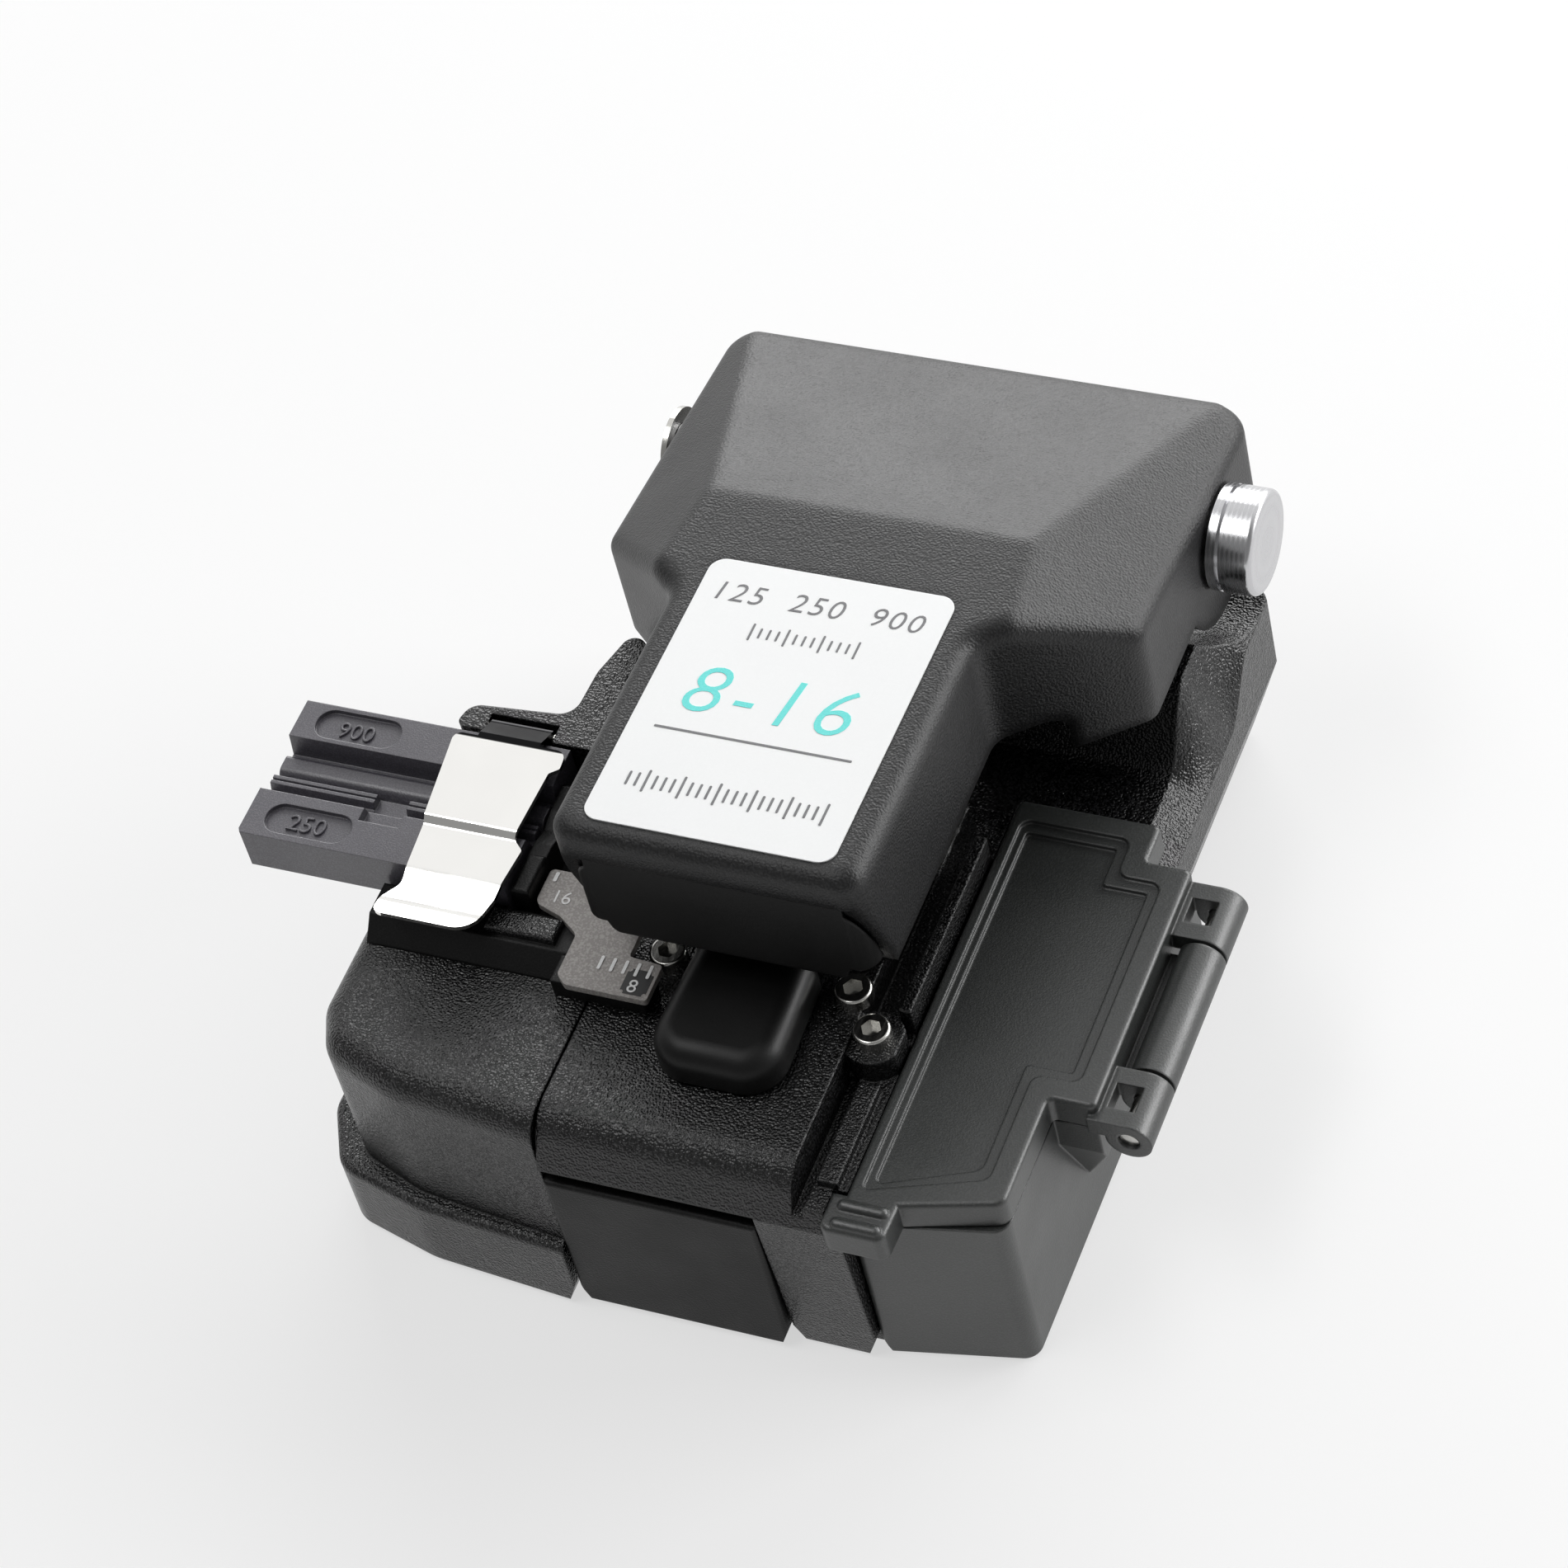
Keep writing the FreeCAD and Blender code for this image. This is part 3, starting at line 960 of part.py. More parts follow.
def clamp_leaf():
    """Polished spring leaf, bent from one strip, with a rolled hinge tongue and a thumb tab."""
    path = leaf_path()
    over = [(y, z + LEAF_T, r) for y, z, r in reversed(path)]
    strip = side(path + over, LEAF_LEFT - 2, LEAF_RIGHT + 2)
    leaf = strip.common(plan(leaf_outline(), 0, 60))
    top = path[0][1]
    y, z = LEAF_PIN_Y, LEAF_PIN_Z + KNUCKLE_OUT
    tongue = side([(LEAF_BACK - 0.4, top), (LEAF_BACK + 0.1, top), (y - 0.5, z - LEAF_T - 0.1), (y, z - LEAF_T),
                   (y, z), (LEAF_BACK + 0.4, top + LEAF_T), (LEAF_BACK - 0.4, top + LEAF_T)],
                  LEAF_X - TONGUE_HALF, LEAF_X + TONGUE_HALF)
    knuckle = cyl_x(LEAF_X - TONGUE_HALF, LEAF_X + TONGUE_HALF, LEAF_PIN_Y, LEAF_PIN_Z, KNUCKLE_OUT)
    leaf = join(leaf, tongue, knuckle)
    return leaf.cut(cyl_x(LEAF_LEFT, LEAF_RIGHT, LEAF_PIN_Y, LEAF_PIN_Z, LEAF_PIN_R + FIT))


# ---- scrap box --------------------------------------------------------------
def box_outline(inset):
    """Plan of the tray; the front wall runs back to the right."""
    return [(BOX_LEFT + inset, BOX_FRONT + inset, 0.6), (BOX_RIGHT - inset, BOX_FRONT + BOX_SLANT + inset, 1.4),
            (BOX_RIGHT - inset, BOX_BACK - inset, 1), (BOX_LEFT + inset, BOX_BACK - inset, 0.6)]


def scrap_box():
    """Tray for fibre ends: a corbelled right side carries the lid's hinge."""
    tray = plan(box_outline(0), SKIRT_GAP, BOX_TOP)
    tray = join(tray, corbel_form())
    tray = tray.cut(plan(box_outline(BOX_WALL), SKIRT_GAP + BOX_WALL, BOX_TOP + 1))
    tray = tray.cut(box(BOX_RIGHT - 3, BOX_WIDE - BOX_WALL, BOX_STEP_FRONT + BOX_WALL + 1.5, BOX_STEP_BACK - BOX_WALL,
                        BOX_TOP - 5.0, BOX_TOP + 1))
    knuckle = cyl_y(KNUCKLE_FRONT, KNUCKLE_BACK, LID_HINGE_X, LID_HINGE_Z, KNUCKLE_R)
    web = box(BOX_WIDE - 0.5, LID_HINGE_X, KNUCKLE_FRONT, KNUCKLE_BACK, LID_HINGE_Z - KNUCKLE_R, LID_HINGE_Z - 0.2)
    posts = [cyl_x(BOX_LEFT, BOX_LEFT + 4.4, y, BOX_SCREW_Z, 2.2) for y in BOX_SCREW_YS]
    tray = join(tray, knuckle, web, *posts)
    for y in BOX_SCREW_YS:
        tray = tray.cut(cyl_x(BOX_LEFT - 1, BOX_LEFT + 3.9, y, BOX_SCREW_Z, SCREW_R + FIT))
    tray = tray.cut(seam_notch(BOX_LEFT))
    return tray.cut(cyl_y(-60, 60, LID_HINGE_X, LID_HINGE_Z, LID_PIN_R))


KNUCKLE_FRONT = -13.0
KNUCKLE_BACK = -1.2
EAR_FRONT = -18.4
EAR_BACK = 4.2


def corbel_form():
    """Overhang that widens the tray to the lid's hinge, with a slanted front."""
    corbel = front([(BOX_RIGHT - 2, SKIRT_GAP + 5), (BOX_RIGHT, SKIRT_GAP + 5), (BOX_WIDE, BOX_TOP - 4.0),
                    (BOX_WIDE, BOX_TOP), (BOX_RIGHT - 2, BOX_TOP)], BOX_STEP_FRONT, BOX_STEP_BACK)
    rake = side([(BOX_STEP_FRONT - 1, -1), (BOX_STEP_FRONT - 1, BOX_TOP - 3.0), (BOX_STEP_FRONT, BOX_TOP - 3.0),
                 (BOX_STEP_FRONT + 3.5, SKIRT_GAP + 5), (BOX_STEP_FRONT + 3.5, -1)], BOX_RIGHT - 3, BOX_WIDE + 2)
    return corbel.cut(rake)


def lid_outline(inset, left_inset, small):
    """Plan of the lid, let in by inset (left_inset on the left side)."""
    left = BOX_LEFT + SEAM + left_inset
    right = BOX_RIGHT - inset
    wide = BOX_WIDE + 0.1 - inset
    rear = BOX_BACK + 1.1 - inset
    return [(left, BOX_FRONT - 0.3 + inset, 0.5), (right, BOX_FRONT + BOX_SLANT + 0.6 + inset, 1.0),
            (right, BOX_STEP_FRONT + inset, small), (wide, BOX_STEP_FRONT + inset, small),
            (wide, BOX_STEP_BACK - inset, small), (right, BOX_STEP_BACK - inset, small), (right, rear, small),
            (left, rear, small)]


def scrap_lid():
    """Flip lid: stepped plate, rimmed panel, thumb tab with two ribs, two windowed ears."""
    z0 = BOX_TOP + SEAM
    z1 = z0 + LID_T
    lid = plan(lid_outline(0, 0, 0.5), z0, z1)
    tab = plan([(BOX_LEFT - 0.9, BOX_FRONT - 2.4, 0.8), (BOX_LEFT + 4.2, BOX_FRONT - 2.4, 0.8),
                (BOX_LEFT + 4.3, BOX_FRONT + 1.2, 0), (BOX_LEFT + SEAM, BOX_FRONT + 1.2, 0),
                (BOX_LEFT + SEAM, BOX_FRONT + 0.9, 0), (BOX_LEFT - 0.9, BOX_FRONT + 0.9, 0)], z0, z1)
    lid = join(lid, tab)
    lid = round_edges(lid, 0.4, level_at(z1))
    ledge = plan(lid_outline(1.8, 0.9, 0.9), z1 - 0.35, z1 + 1)
    field = plan(lid_outline(2.7, 1.5, 0.3), z1 - 0.7, z1 + 1)
    lid = lid.cut(ledge).cut(field)
    for y in (BOX_FRONT - 1.7, BOX_FRONT - 0.1):
        bead = cyl_x(BOX_LEFT + 0.4, BOX_LEFT + 3.4, y, z1 - 0.1, 0.5)
        ends = [Part.makeSphere(0.5, V(x, y, z1 - 0.1)) for x in (BOX_LEFT + 0.4, BOX_LEFT + 3.4)]
        lid = join(lid, bead, *ends)
    for y0, y1 in ((EAR_FRONT, KNUCKLE_FRONT - SEAT), (KNUCKLE_BACK + SEAT, EAR_BACK)):
        arm = box(BOX_WIDE - 0.6, LID_HINGE_X, y0, y1, z0, LID_HINGE_Z + KNUCKLE_R)
        barrel = cyl_y(y0, y1, LID_HINGE_X, LID_HINGE_Z, KNUCKLE_R)
        window = box(BOX_WIDE + 0.6, LID_HINGE_X + 0.2, y0 + 1.4, y1 - 1.4, LID_HINGE_Z - 3, z1 + 1)
        lid = join(lid, arm, barrel)
        lid = lid.cut(window)
    return lid.cut(cyl_y(-60, 60, LID_HINGE_X, LID_HINGE_Z, LID_PIN_R + FIT))


def lid_pin():
    return cyl_y(EAR_FRONT + 0.3, EAR_BACK - 0.3, LID_HINGE_X, LID_HINGE_Z, LID_PIN_R)


def box_screws():
    """Two screws through the centre body's wall into the scrap box."""
    made = []
    for y in BOX_SCREW_YS:
        one = screw(0, 0, 0, WALL + 3.6, head_h=1.2)
        one.rotate(V(0, 0, 0), V(0, 1, 0), -90)
        one.translate(V(CENTRE_RIGHT - WALL, y, BOX_SCREW_Z))
        made.append(one)
    return Part.makeCompound(made)


def leaf_pin():
    reach = TONGUE_HALF + SEAT + 0.8
    return cyl_x(LEAF_X - reach, LEAF_X + reach, LEAF_PIN_Y, LEAF_PIN_Z, LEAF_PIN_R)


def deck_screws():
    low = [(x, y) for x, y in screw_places() if (x, y) != SCREW_C]
    sizes = {"head_r": DECK_HEAD_R, "head_h": DECK_HEAD_H, "shank_r": DECK_SHANK_R}
    made = [screw(x, y, DECK_Z, 4.0, **sizes) for x, y in low]
    made.append(screw(SCREW_C[0], SCREW_C[1], DECK_Z - 0.6, 4.0, **sizes))
    return Part.makeCompound(made)


# ---- write ------------------------------------------------------------------
def build():
    nodes = {
        "base_mat": base_mat(),
        "base_plate": base_plate(),
        "base_screws": base_screws(),
        "centre_body": centre_body(),
        "left_shell": left_shell(),
        "rear_body": rear_body(),
        "front_panel": front_panel(),
        "deck_screws": deck_screws(),
        "guide_rail": guide_rail(),
        "rail_screws": rail_screws(),
        "lower_clamp_left": lower_clamp(-1),
        "lower_clamp_right": lower_clamp(1),
        "lower_pads": pads(FIBRE_Z - PAD_T, FIBRE_Z - 0.1),
        "adapter_bed": adapter_bed(),
        "grip_strip": grip_strip(),
        "fibre_guide": fibre_guide(),
        "guide_cap": guide_cap(),
        "scale_plate": scale_plate(),
        "adapter_bar": adapter_bar(),
        "clamp_leaf": clamp_leaf(),
        "leaf_pin": leaf_pin(),
        "scrap_box": scrap_box(),
        "scrap_lid": scrap_lid(),
        "lid_pin": lid_pin(),
        "box_screws": box_screws(),
        "carriage_slide": carriage_slide(),
        "carriage_cover": carriage_cover(),
        "blade_wheel": blade_wheel(),
        "blade_hub": blade_hub(),
        "drive_link": drive_link(),
        "link_pin": link_pin(),
        "lever_cover": lever_cover(),
        "lever_label": lever_label(),
        "lever_frame": lever_frame(),
        "lever_screws": lever_screws(),
        "upper_clamp_left": upper_clamp(-1),
        "upper_clamp_right": upper_clamp(1),
        "upper_pads": pads(FIBRE_Z + 0.15, FIBRE_Z + PAD_T),
        "anvil": anvil(),
        "anvil_pad": anvil_pad(),
        "drive_arm": drive_arm(),
        "lever_springs": lever_springs(),
        "lock_pin": lock_pin(),
        "pin_clip": pin_clip(),
    }
    return nodes


def main():
    os.makedirs("parts", exist_ok=True)
    for name, shape in build().items():
        shape.exportStep("parts/" + name + ".step")
        print(name, len(shape.Solids), "solids, volume", round(shape.Volume, 1), "valid", shape.isValid())


main()
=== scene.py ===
# %% [markdown]
# # Dressing a fibre cleaver
# A fibre cleaver scores a glass fibre with a hard round blade and snaps it square. The solid model gives
# every moulding, screw and slide its exact shape and place. This lesson adds what a solid model can't
# carry: the finish of each surface, the printed marks, the light and the camera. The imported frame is
# loaded first, and the pieces that are added later are placed from the sizes it gives.

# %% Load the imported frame
import json
import math

import bmesh
import bpy
from mathutils import Matrix, Vector


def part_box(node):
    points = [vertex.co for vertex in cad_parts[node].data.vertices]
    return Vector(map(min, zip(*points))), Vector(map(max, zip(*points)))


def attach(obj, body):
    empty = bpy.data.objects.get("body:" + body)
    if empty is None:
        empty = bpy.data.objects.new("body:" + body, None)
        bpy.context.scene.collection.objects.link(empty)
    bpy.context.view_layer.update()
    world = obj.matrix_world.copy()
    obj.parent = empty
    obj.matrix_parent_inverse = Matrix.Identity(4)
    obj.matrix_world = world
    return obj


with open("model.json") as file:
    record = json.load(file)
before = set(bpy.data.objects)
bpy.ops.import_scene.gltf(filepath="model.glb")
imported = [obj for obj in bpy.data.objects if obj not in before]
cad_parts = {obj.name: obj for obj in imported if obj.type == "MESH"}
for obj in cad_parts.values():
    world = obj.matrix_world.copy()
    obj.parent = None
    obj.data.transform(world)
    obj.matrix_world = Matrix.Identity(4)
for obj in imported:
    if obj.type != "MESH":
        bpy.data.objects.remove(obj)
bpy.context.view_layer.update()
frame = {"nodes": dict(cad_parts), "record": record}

MM = 0.001
nodes = frame["nodes"]

# %% [markdown]
# ## Smooth shading
# The solid model arrives as flat triangles, so a rounded edge would show as facets. Shading every face
# smooth and then marking the edges that turn by more than a chosen angle as sharp keeps the fillets soft
# and the corners crisp. The alternative, a bevel or subdivision modifier, would change shapes that are
# already right.

# %% Shade fillets smooth and keep real corners sharp
SHARP_DEG = 28
for node in nodes.values():
    node.data.shade_smooth()
    node.data.set_sharp_from_angle(angle=math.radians(SHARP_DEG))
print("smoothed", len(nodes), "nodes")

# %% [markdown]
# ## Colours and nodes
# Colours are written as the sRGB hex values a designer would quote, and one function turns them to the
# linear values the shaders work in. One more small function adds a shader node with its settings and its
# links, so each material below reads as a short list of what it is made of.

# %% Helpers that every finish uses
def linear(code):
    """Linear colour of an sRGB hex code."""
    parts = [int(code[i:i + 2], 16) / 255 for i in (1, 3, 5)]
    return [p / 12.92 if p <= 0.04045 else ((p + 0.055) / 1.055) ** 2.4 for p in parts] + [1.0]


def add(tree, kind, inputs=None, **settings):
    """Add a node: settings are its own values, inputs are socket values or the sockets that feed them."""
    node = tree.nodes.new(kind)
    for name, value in settings.items():
        setattr(node, name, value)
    for name, value in (inputs or {}).items():
        if isinstance(value, bpy.types.NodeSocket):
            tree.links.new(value, node.inputs[name])
        else:
            node.inputs[name].default_value = value
    return node


def new_tree(name):
    """An empty material called name, and its node tree."""
    material = bpy.data.materials.new(name)
    material.use_nodes = True
    material.node_tree.nodes.clear()
    return material, material.node_tree


def wear(names, material):
    """Give the solid model's pieces of these names a material."""
    for name in names:
        slots = nodes[name].data.materials
        slots.clear()
        slots.append(material)


print("mid grey is", [round(v, 3) for v in linear("#808080")[:3]])

# %% [markdown]
# ## Spark-eroded ABS
# The main housings are black ABS moulded in a tool whose steel was roughened by spark erosion. That
# leaves a close grain of rounded pits about a fifth of a millimetre across. Each pit turns the surface a
# little, so a lamp behind the tool shows as a field of fine bright speckles instead of one smooth
# highlight. A fine noise drives the bump, a coarser one makes the grain uneven as a real eroded tool
# does, and a broad one makes handled areas a touch glossier. The crests of the grain are painted a little
# paler than the pits: partly rubbed wear, and partly painted glints that stand in for the lamp's speckles.
# Edges of a moulding are never razor sharp, so the shading is rounded over a small radius before the grain
# is laid on it. Real displacement would need millions of faces for a grain too small to change the outline.

# %% Moulded plastic: one function for every grain and gloss
MOST_OF_NOISE = {"From Min": 0.35, "From Max": 0.65}
RUBBED_AND_GLINTING_CRESTS = {"From Min": 0.45, "From Max": 0.65}
PATCH_MM = 1.4
HANDLED_MM = 9
PLASTIC_IOR = 1.53


def moulded(name, colours, grain_mm, depth_mm, rough, shine, soft_mm):
    """Plastic with a grain of this width and depth.

    colours are the hex tones of pits and crests (paler crests: part wear, part painted glint), rough the
    lowest and highest roughness, shine the specular level, and soft_mm the radius that its edges seem to
    have.
    """
    material, tree = new_tree(name)
    place = add(tree, "ShaderNodeTexCoord").outputs["Object"]
    grain = add(tree, "ShaderNodeTexNoise", {"Vector": place, "Scale": 1 / (grain_mm * MM), "Detail": 0.5})
    patch = add(tree, "ShaderNodeTexNoise", {"Vector": place, "Scale": 1 / (PATCH_MM * MM), "Detail": 2.0})
    depth = add(tree, "ShaderNodeMapRange", {"Value": patch.outputs["Fac"], "To Min": 0.8, "To Max": 1.0,
                                             **MOST_OF_NOISE})
    pit = add(tree, "ShaderNodeMath", {0: grain.outputs["Fac"], 1: depth.outputs["Result"]},
              operation="MULTIPLY")
    handled = add(tree, "ShaderNodeTexNoise", {"Vector": place, "Scale": 1 / (HANDLED_MM * MM),
                                               "Detail": 4.0})
    gloss = add(tree, "ShaderNodeMapRange", {"Value": handled.outputs["Fac"], "To Min": rough[0],
                                             "To Max": rough[1], **MOST_OF_NOISE})
    # Paler crests: partly rubbed wear, partly painted glints that stand in for the lamp's speckled
    # highlights.
    crest = add(tree, "ShaderNodeMapRange", {"Value": grain.outputs["Fac"], **RUBBED_AND_GLINTING_CRESTS})
    tone = add(tree, "ShaderNodeMix", {"Factor": crest.outputs["Result"], "A": linear(colours[0]),
                                       "B": linear(colours[1])}, data_type="RGBA")
    edge = add(tree, "ShaderNodeBevel", {"Radius": soft_mm * MM}, samples=6)
    bump = add(tree, "ShaderNodeBump", {"Height": pit.outputs["Value"], "Strength": 1.0,
                                        "Distance": depth_mm * MM, "Normal": edge.outputs["Normal"]})
    shader = add(tree, "ShaderNodeBsdfPrincipled", {"Base Color": tone.outputs["Result"],
                                                    "IOR": PLASTIC_IOR, "Specular IOR Level": shine,
                                                    "Roughness": gloss.outputs["Result"],
                                                    "Normal": bump.outputs["Normal"]})
    add(tree, "ShaderNodeOutputMaterial", {"Surface": shader.outputs["BSDF"]})
    return material


GRAIN_MM = 0.18
# Full grain: nearly black in shade, with fine grey speckles where a lamp reaches it, and paler crests that
# are partly painted glints.
coarse_abs = moulded("eroded_abs_black", ("#030303", "#1e1e1f"), grain_mm=GRAIN_MM, depth_mm=0.13,
                     rough=(0.24, 0.3), shine=0.45, soft_mm=0.3)
# Shallower grain and wide, soft corners: the lever's facets pass into each other in an even charcoal sheen.
lever_abs = moulded("eroded_abs_lever", ("#070708", "#1c1c1d"), grain_mm=GRAIN_MM, depth_mm=0.055,
                    rough=(0.4, 0.44), shine=0.38, soft_mm=1.5)
wear(["centre_body", "left_shell", "rear_body", "grip_strip"], coarse_abs)
wear(["lever_cover"], lever_abs)
print("grain", GRAIN_MM, "mm")

# %% [markdown]
# ## Satin and smooth polycarbonate
# The lid, the scrap box, the carriage block, the front panel and the adapter come from smoother tools.
# They show soft, unbroken highlights with only a trace of texture, so they use the same function with a
# finer, shallower grain. A plain colour with one roughness would do from afar, but close up it looks like
# paint, not a moulding.

# %% Satin polycarbonate for the smooth mouldings
# A satin tool's own grain is under a tenth of a millimetre: it is drawn a little wider, so that it shows.
# Fine satin: a dark grey with broad, soft highlights.
satin_pc = moulded("satin_polycarbonate_black", ("#252726", "#2f3130"), grain_mm=0.14, depth_mm=0.016,
                   rough=(0.36, 0.44), shine=0.75, soft_mm=0.25)
# Almost no grain: deep black with one faint glow along its top edge.
smooth_pc = moulded("smooth_polycarbonate_black", ("#060606", "#090909"), grain_mm=0.14, depth_mm=0.006,
                    rough=(0.38, 0.48), shine=0.25, soft_mm=0.25)
# A matt black that stays quiet beside the grained housing round it.
panel_pc = moulded("satin_polycarbonate_panel", ("#080808", "#111111"), grain_mm=0.14, depth_mm=0.03,
                   rough=(0.4, 0.5), shine=0.22, soft_mm=0.25)
# A lighter, worn charcoal, because fibres are laid on the adapter again and again.
adapter_pc = moulded("satin_polycarbonate_adapter", ("#424047", "#56545b"), grain_mm=0.12, depth_mm=0.016,
                     rough=(0.32, 0.42), shine=0.8, soft_mm=0.12)
wear(["scrap_box", "scrap_lid"], satin_pc)
wear(["carriage_cover", "lever_frame"], smooth_pc)
wear(["front_panel", "adapter_bed", "fibre_guide", "guide_cap"], panel_pc)
wear(["adapter_bar"], adapter_pc)
print("four smoother plastics made")

# %% [markdown]
# ## Plated and ground steel
# The screws, pins and clips are nickel-plated steel, and the rail, the links and the blade's hub are
# ground steel. Grinding and polishing leave fine streaks, which spread a highlight across them. A noise
# stretched along one axis draws such streaks in the piece's own millimetres, so it needs no unwrapping
# and keeps its scale on a small screw as on a long rail. A metal's colour tints its reflections, and it
# keeps the default IOR.

# %% Plated and ground steel
# Real grinding marks are a few hundredths of a millimetre wide: they are drawn wider, so that they show.
MOST_STREAKS = {"From Min": 0.3, "From Max": 0.7}
STREAK_SQUASH = 0.06


def metal_surface(tree, colour, rough, relief, depth_mm):
    """Join a colour, a roughness and a relief of this depth into a bare metal."""
    bump = add(tree, "ShaderNodeBump", {"Height": relief, "Strength": 1.0, "Distance": depth_mm * MM})
    shader = add(tree, "ShaderNodeBsdfPrincipled", {"Base Color": colour, "Metallic": 1.0,
                                                    "Roughness": rough, "Normal": bump.outputs["Normal"]})
    add(tree, "ShaderNodeOutputMaterial", {"Surface": shader.outputs["BSDF"]})


def plain_metal(name, colour, roughness, streak_mm, depth_mm):
    """Metal with short streaks from front to back, of this width and depth."""
    material, tree = new_tree(name)
    place = add(tree, "ShaderNodeTexCoord").outputs["Object"]
    stretch = add(tree, "ShaderNodeMapping", {"Vector": place, "Scale": (1.0, STREAK_SQUASH, 1.0)})
    streak = add(tree, "ShaderNodeTexNoise", {"Vector": stretch.outputs["Vector"], "Detail": 3.0,
                                              "Scale": 1 / (streak_mm * MM)})
    rough = add(tree, "ShaderNodeMapRange", {"Value": streak.outputs["Fac"], "To Min": roughness * 0.8,
                                             "To Max": roughness * 1.25, **MOST_STREAKS})
    metal_surface(tree, linear(colour), rough.outputs["Result"], streak.outputs["Fac"], depth_mm)
    return material


# Nickel plate: a bright, faintly warm sparkle on every small round head.
plated_steel = plain_metal("nickel_plated_steel", "#c4c3bf", roughness=0.22, streak_mm=0.25,
                           depth_mm=0.0008)
# Ground steel: greyer and softer, a plain working surface.
ground_steel = plain_metal("ground_steel", "#a5a5a6", roughness=0.32, streak_mm=0.15, depth_mm=0.0015)
wear(["deck_screws", "base_screws", "rail_screws", "box_screws", "lever_screws", "lid_pin", "leaf_pin",
      "pin_clip", "link_pin"], plated_steel)
wear(["guide_rail", "drive_link", "drive_arm", "lever_springs", "anvil", "blade_hub"], ground_steel)
print("two steels made")

# %% [markdown]
# ## Polished spring steel
# The leaf that holds the fibre down is a strip of polished spring steel. It is nearly a mirror, smeared a
# little by fingers, so its bright top shows the white of the room. Where its tongue enters the fence it is
# painted near black: painted shade for the shadowed gap there, which the material does by the distance
# along the strip. Splitting the strip in two pieces would give the same black, but would leave a seam that
# the real one hasn't.

# %% Bright leaf with painted shade on its tongue
SMEAR_MM = 4
ROLLED_MM = 0.3
# Painted shade covers this length at the leaf's back end, and its edge fades in over the next length.
TONGUE_MM = 2.9
FADE_MM = 0.1


def sprung_leaf(name, painted_shade_y):
    """Mirror-bright steel with painted shade: near black behind the given point, where it enters the fence.
    """
    material, tree = new_tree(name)
    place = add(tree, "ShaderNodeTexCoord").outputs["Object"]
    rolled = add(tree, "ShaderNodeMapping", {"Vector": place, "Scale": (1.0, 0.05, 1.0)})
    streak = add(tree, "ShaderNodeTexNoise", {"Vector": rolled.outputs["Vector"], "Detail": 3.0,
                                              "Scale": 1 / (ROLLED_MM * MM)})
    smear = add(tree, "ShaderNodeTexNoise", {"Vector": place, "Scale": 1 / (SMEAR_MM * MM), "Detail": 3.0})
    rough = add(tree, "ShaderNodeMapRange", {"Value": smear.outputs["Fac"], "To Min": 0.08, "To Max": 0.17,
                                             **MOST_OF_NOISE})
    along = add(tree, "ShaderNodeSeparateXYZ", {"Vector": place})
    # Painted shade: behind this point the steel is painted near black, for the shadowed gap at the fence.
    black = add(tree, "ShaderNodeMapRange", {"Value": along.outputs["Y"], "From Max": painted_shade_y,
                                             "From Min": painted_shade_y - FADE_MM * MM})
    colour = add(tree, "ShaderNodeMix", {"Factor": black.outputs["Result"], "A": linear("#f1f0ed"),
                                         "B": linear("#1b1b1c")}, data_type="RGBA")
    metal_surface(tree, colour.outputs["Result"], rough.outputs["Result"], streak.outputs["Fac"], 0.0005)
    return material


# The painted shade starts this far in front of the leaf's back end.
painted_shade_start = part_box("clamp_leaf")[1].y - TONGUE_MM * MM
wear(["clamp_leaf"], sprung_leaf("polished_spring_steel", painted_shade_start))
print("leaf blackened behind", round(painted_shade_start / MM, 2), "mm")

# %% [markdown]
# ## Turned aluminium
# The lever's hinge pin is turned aluminium. A lathe leaves fine rings round its axis, and they draw a
# bright fan across the flat end. The distance from the hinge's axis, passed through a sine, gives the
# rings. Modelling them would take thousands of faces, and a picture of them would blur close up.

# %% Hinge pin with lathe rings
# A real cut leaves rings about 0.1 mm apart: they are drawn twice as wide, so that they show.
RING_MM = 0.22


def turned_aluminium(name, axis_y, axis_z):
    """Pale metal with rings round an axis that runs from left to right."""
    material, tree = new_tree(name)
    place = add(tree, "ShaderNodeTexCoord").outputs["Object"]
    centred = add(tree, "ShaderNodeMapping", {"Vector": place, "Location": (0.0, -axis_y, -axis_z),
                                              "Scale": (0.6, 1.0, 1.0)})
    reach = add(tree, "ShaderNodeVectorMath", {0: centred.outputs["Vector"]}, operation="LENGTH")
    turns = add(tree, "ShaderNodeMath", {0: reach.outputs["Value"], 1: 2 * math.pi / (RING_MM * MM)},
                operation="MULTIPLY")
    ring = add(tree, "ShaderNodeMath", {0: turns.outputs["Value"]}, operation="SINE")
    rough = add(tree, "ShaderNodeMapRange", {"Value": ring.outputs["Value"], "From Min": -1.0,
                                             "From Max": 1.0, "To Min": 0.18, "To Max": 0.28})
    metal_surface(tree, linear("#c4c4c6"), rough.outputs["Result"], ring.outputs["Value"], 0.00025)
    return material


hinge = [j for j in frame["record"]["behaviour"]["joints"] if j["name"] == "lever_hinge"][0]["pos_m"]
wear(["lock_pin"], turned_aluminium("turned_aluminium", hinge[1], hinge[2]))
print("pin axis at y, z", [round(v / MM, 2) for v in hinge[1:]])

# %% [markdown]
# ## The hidden and small parts
# Under the lever are the rubber pads that grip the fibre, the coated blocks that carry them, the anodised
# carriage and the carbide blade. A rubber mat lines the foot. They show only when the lever is open or
# the tool is turned over, so the two functions above are enough for them.

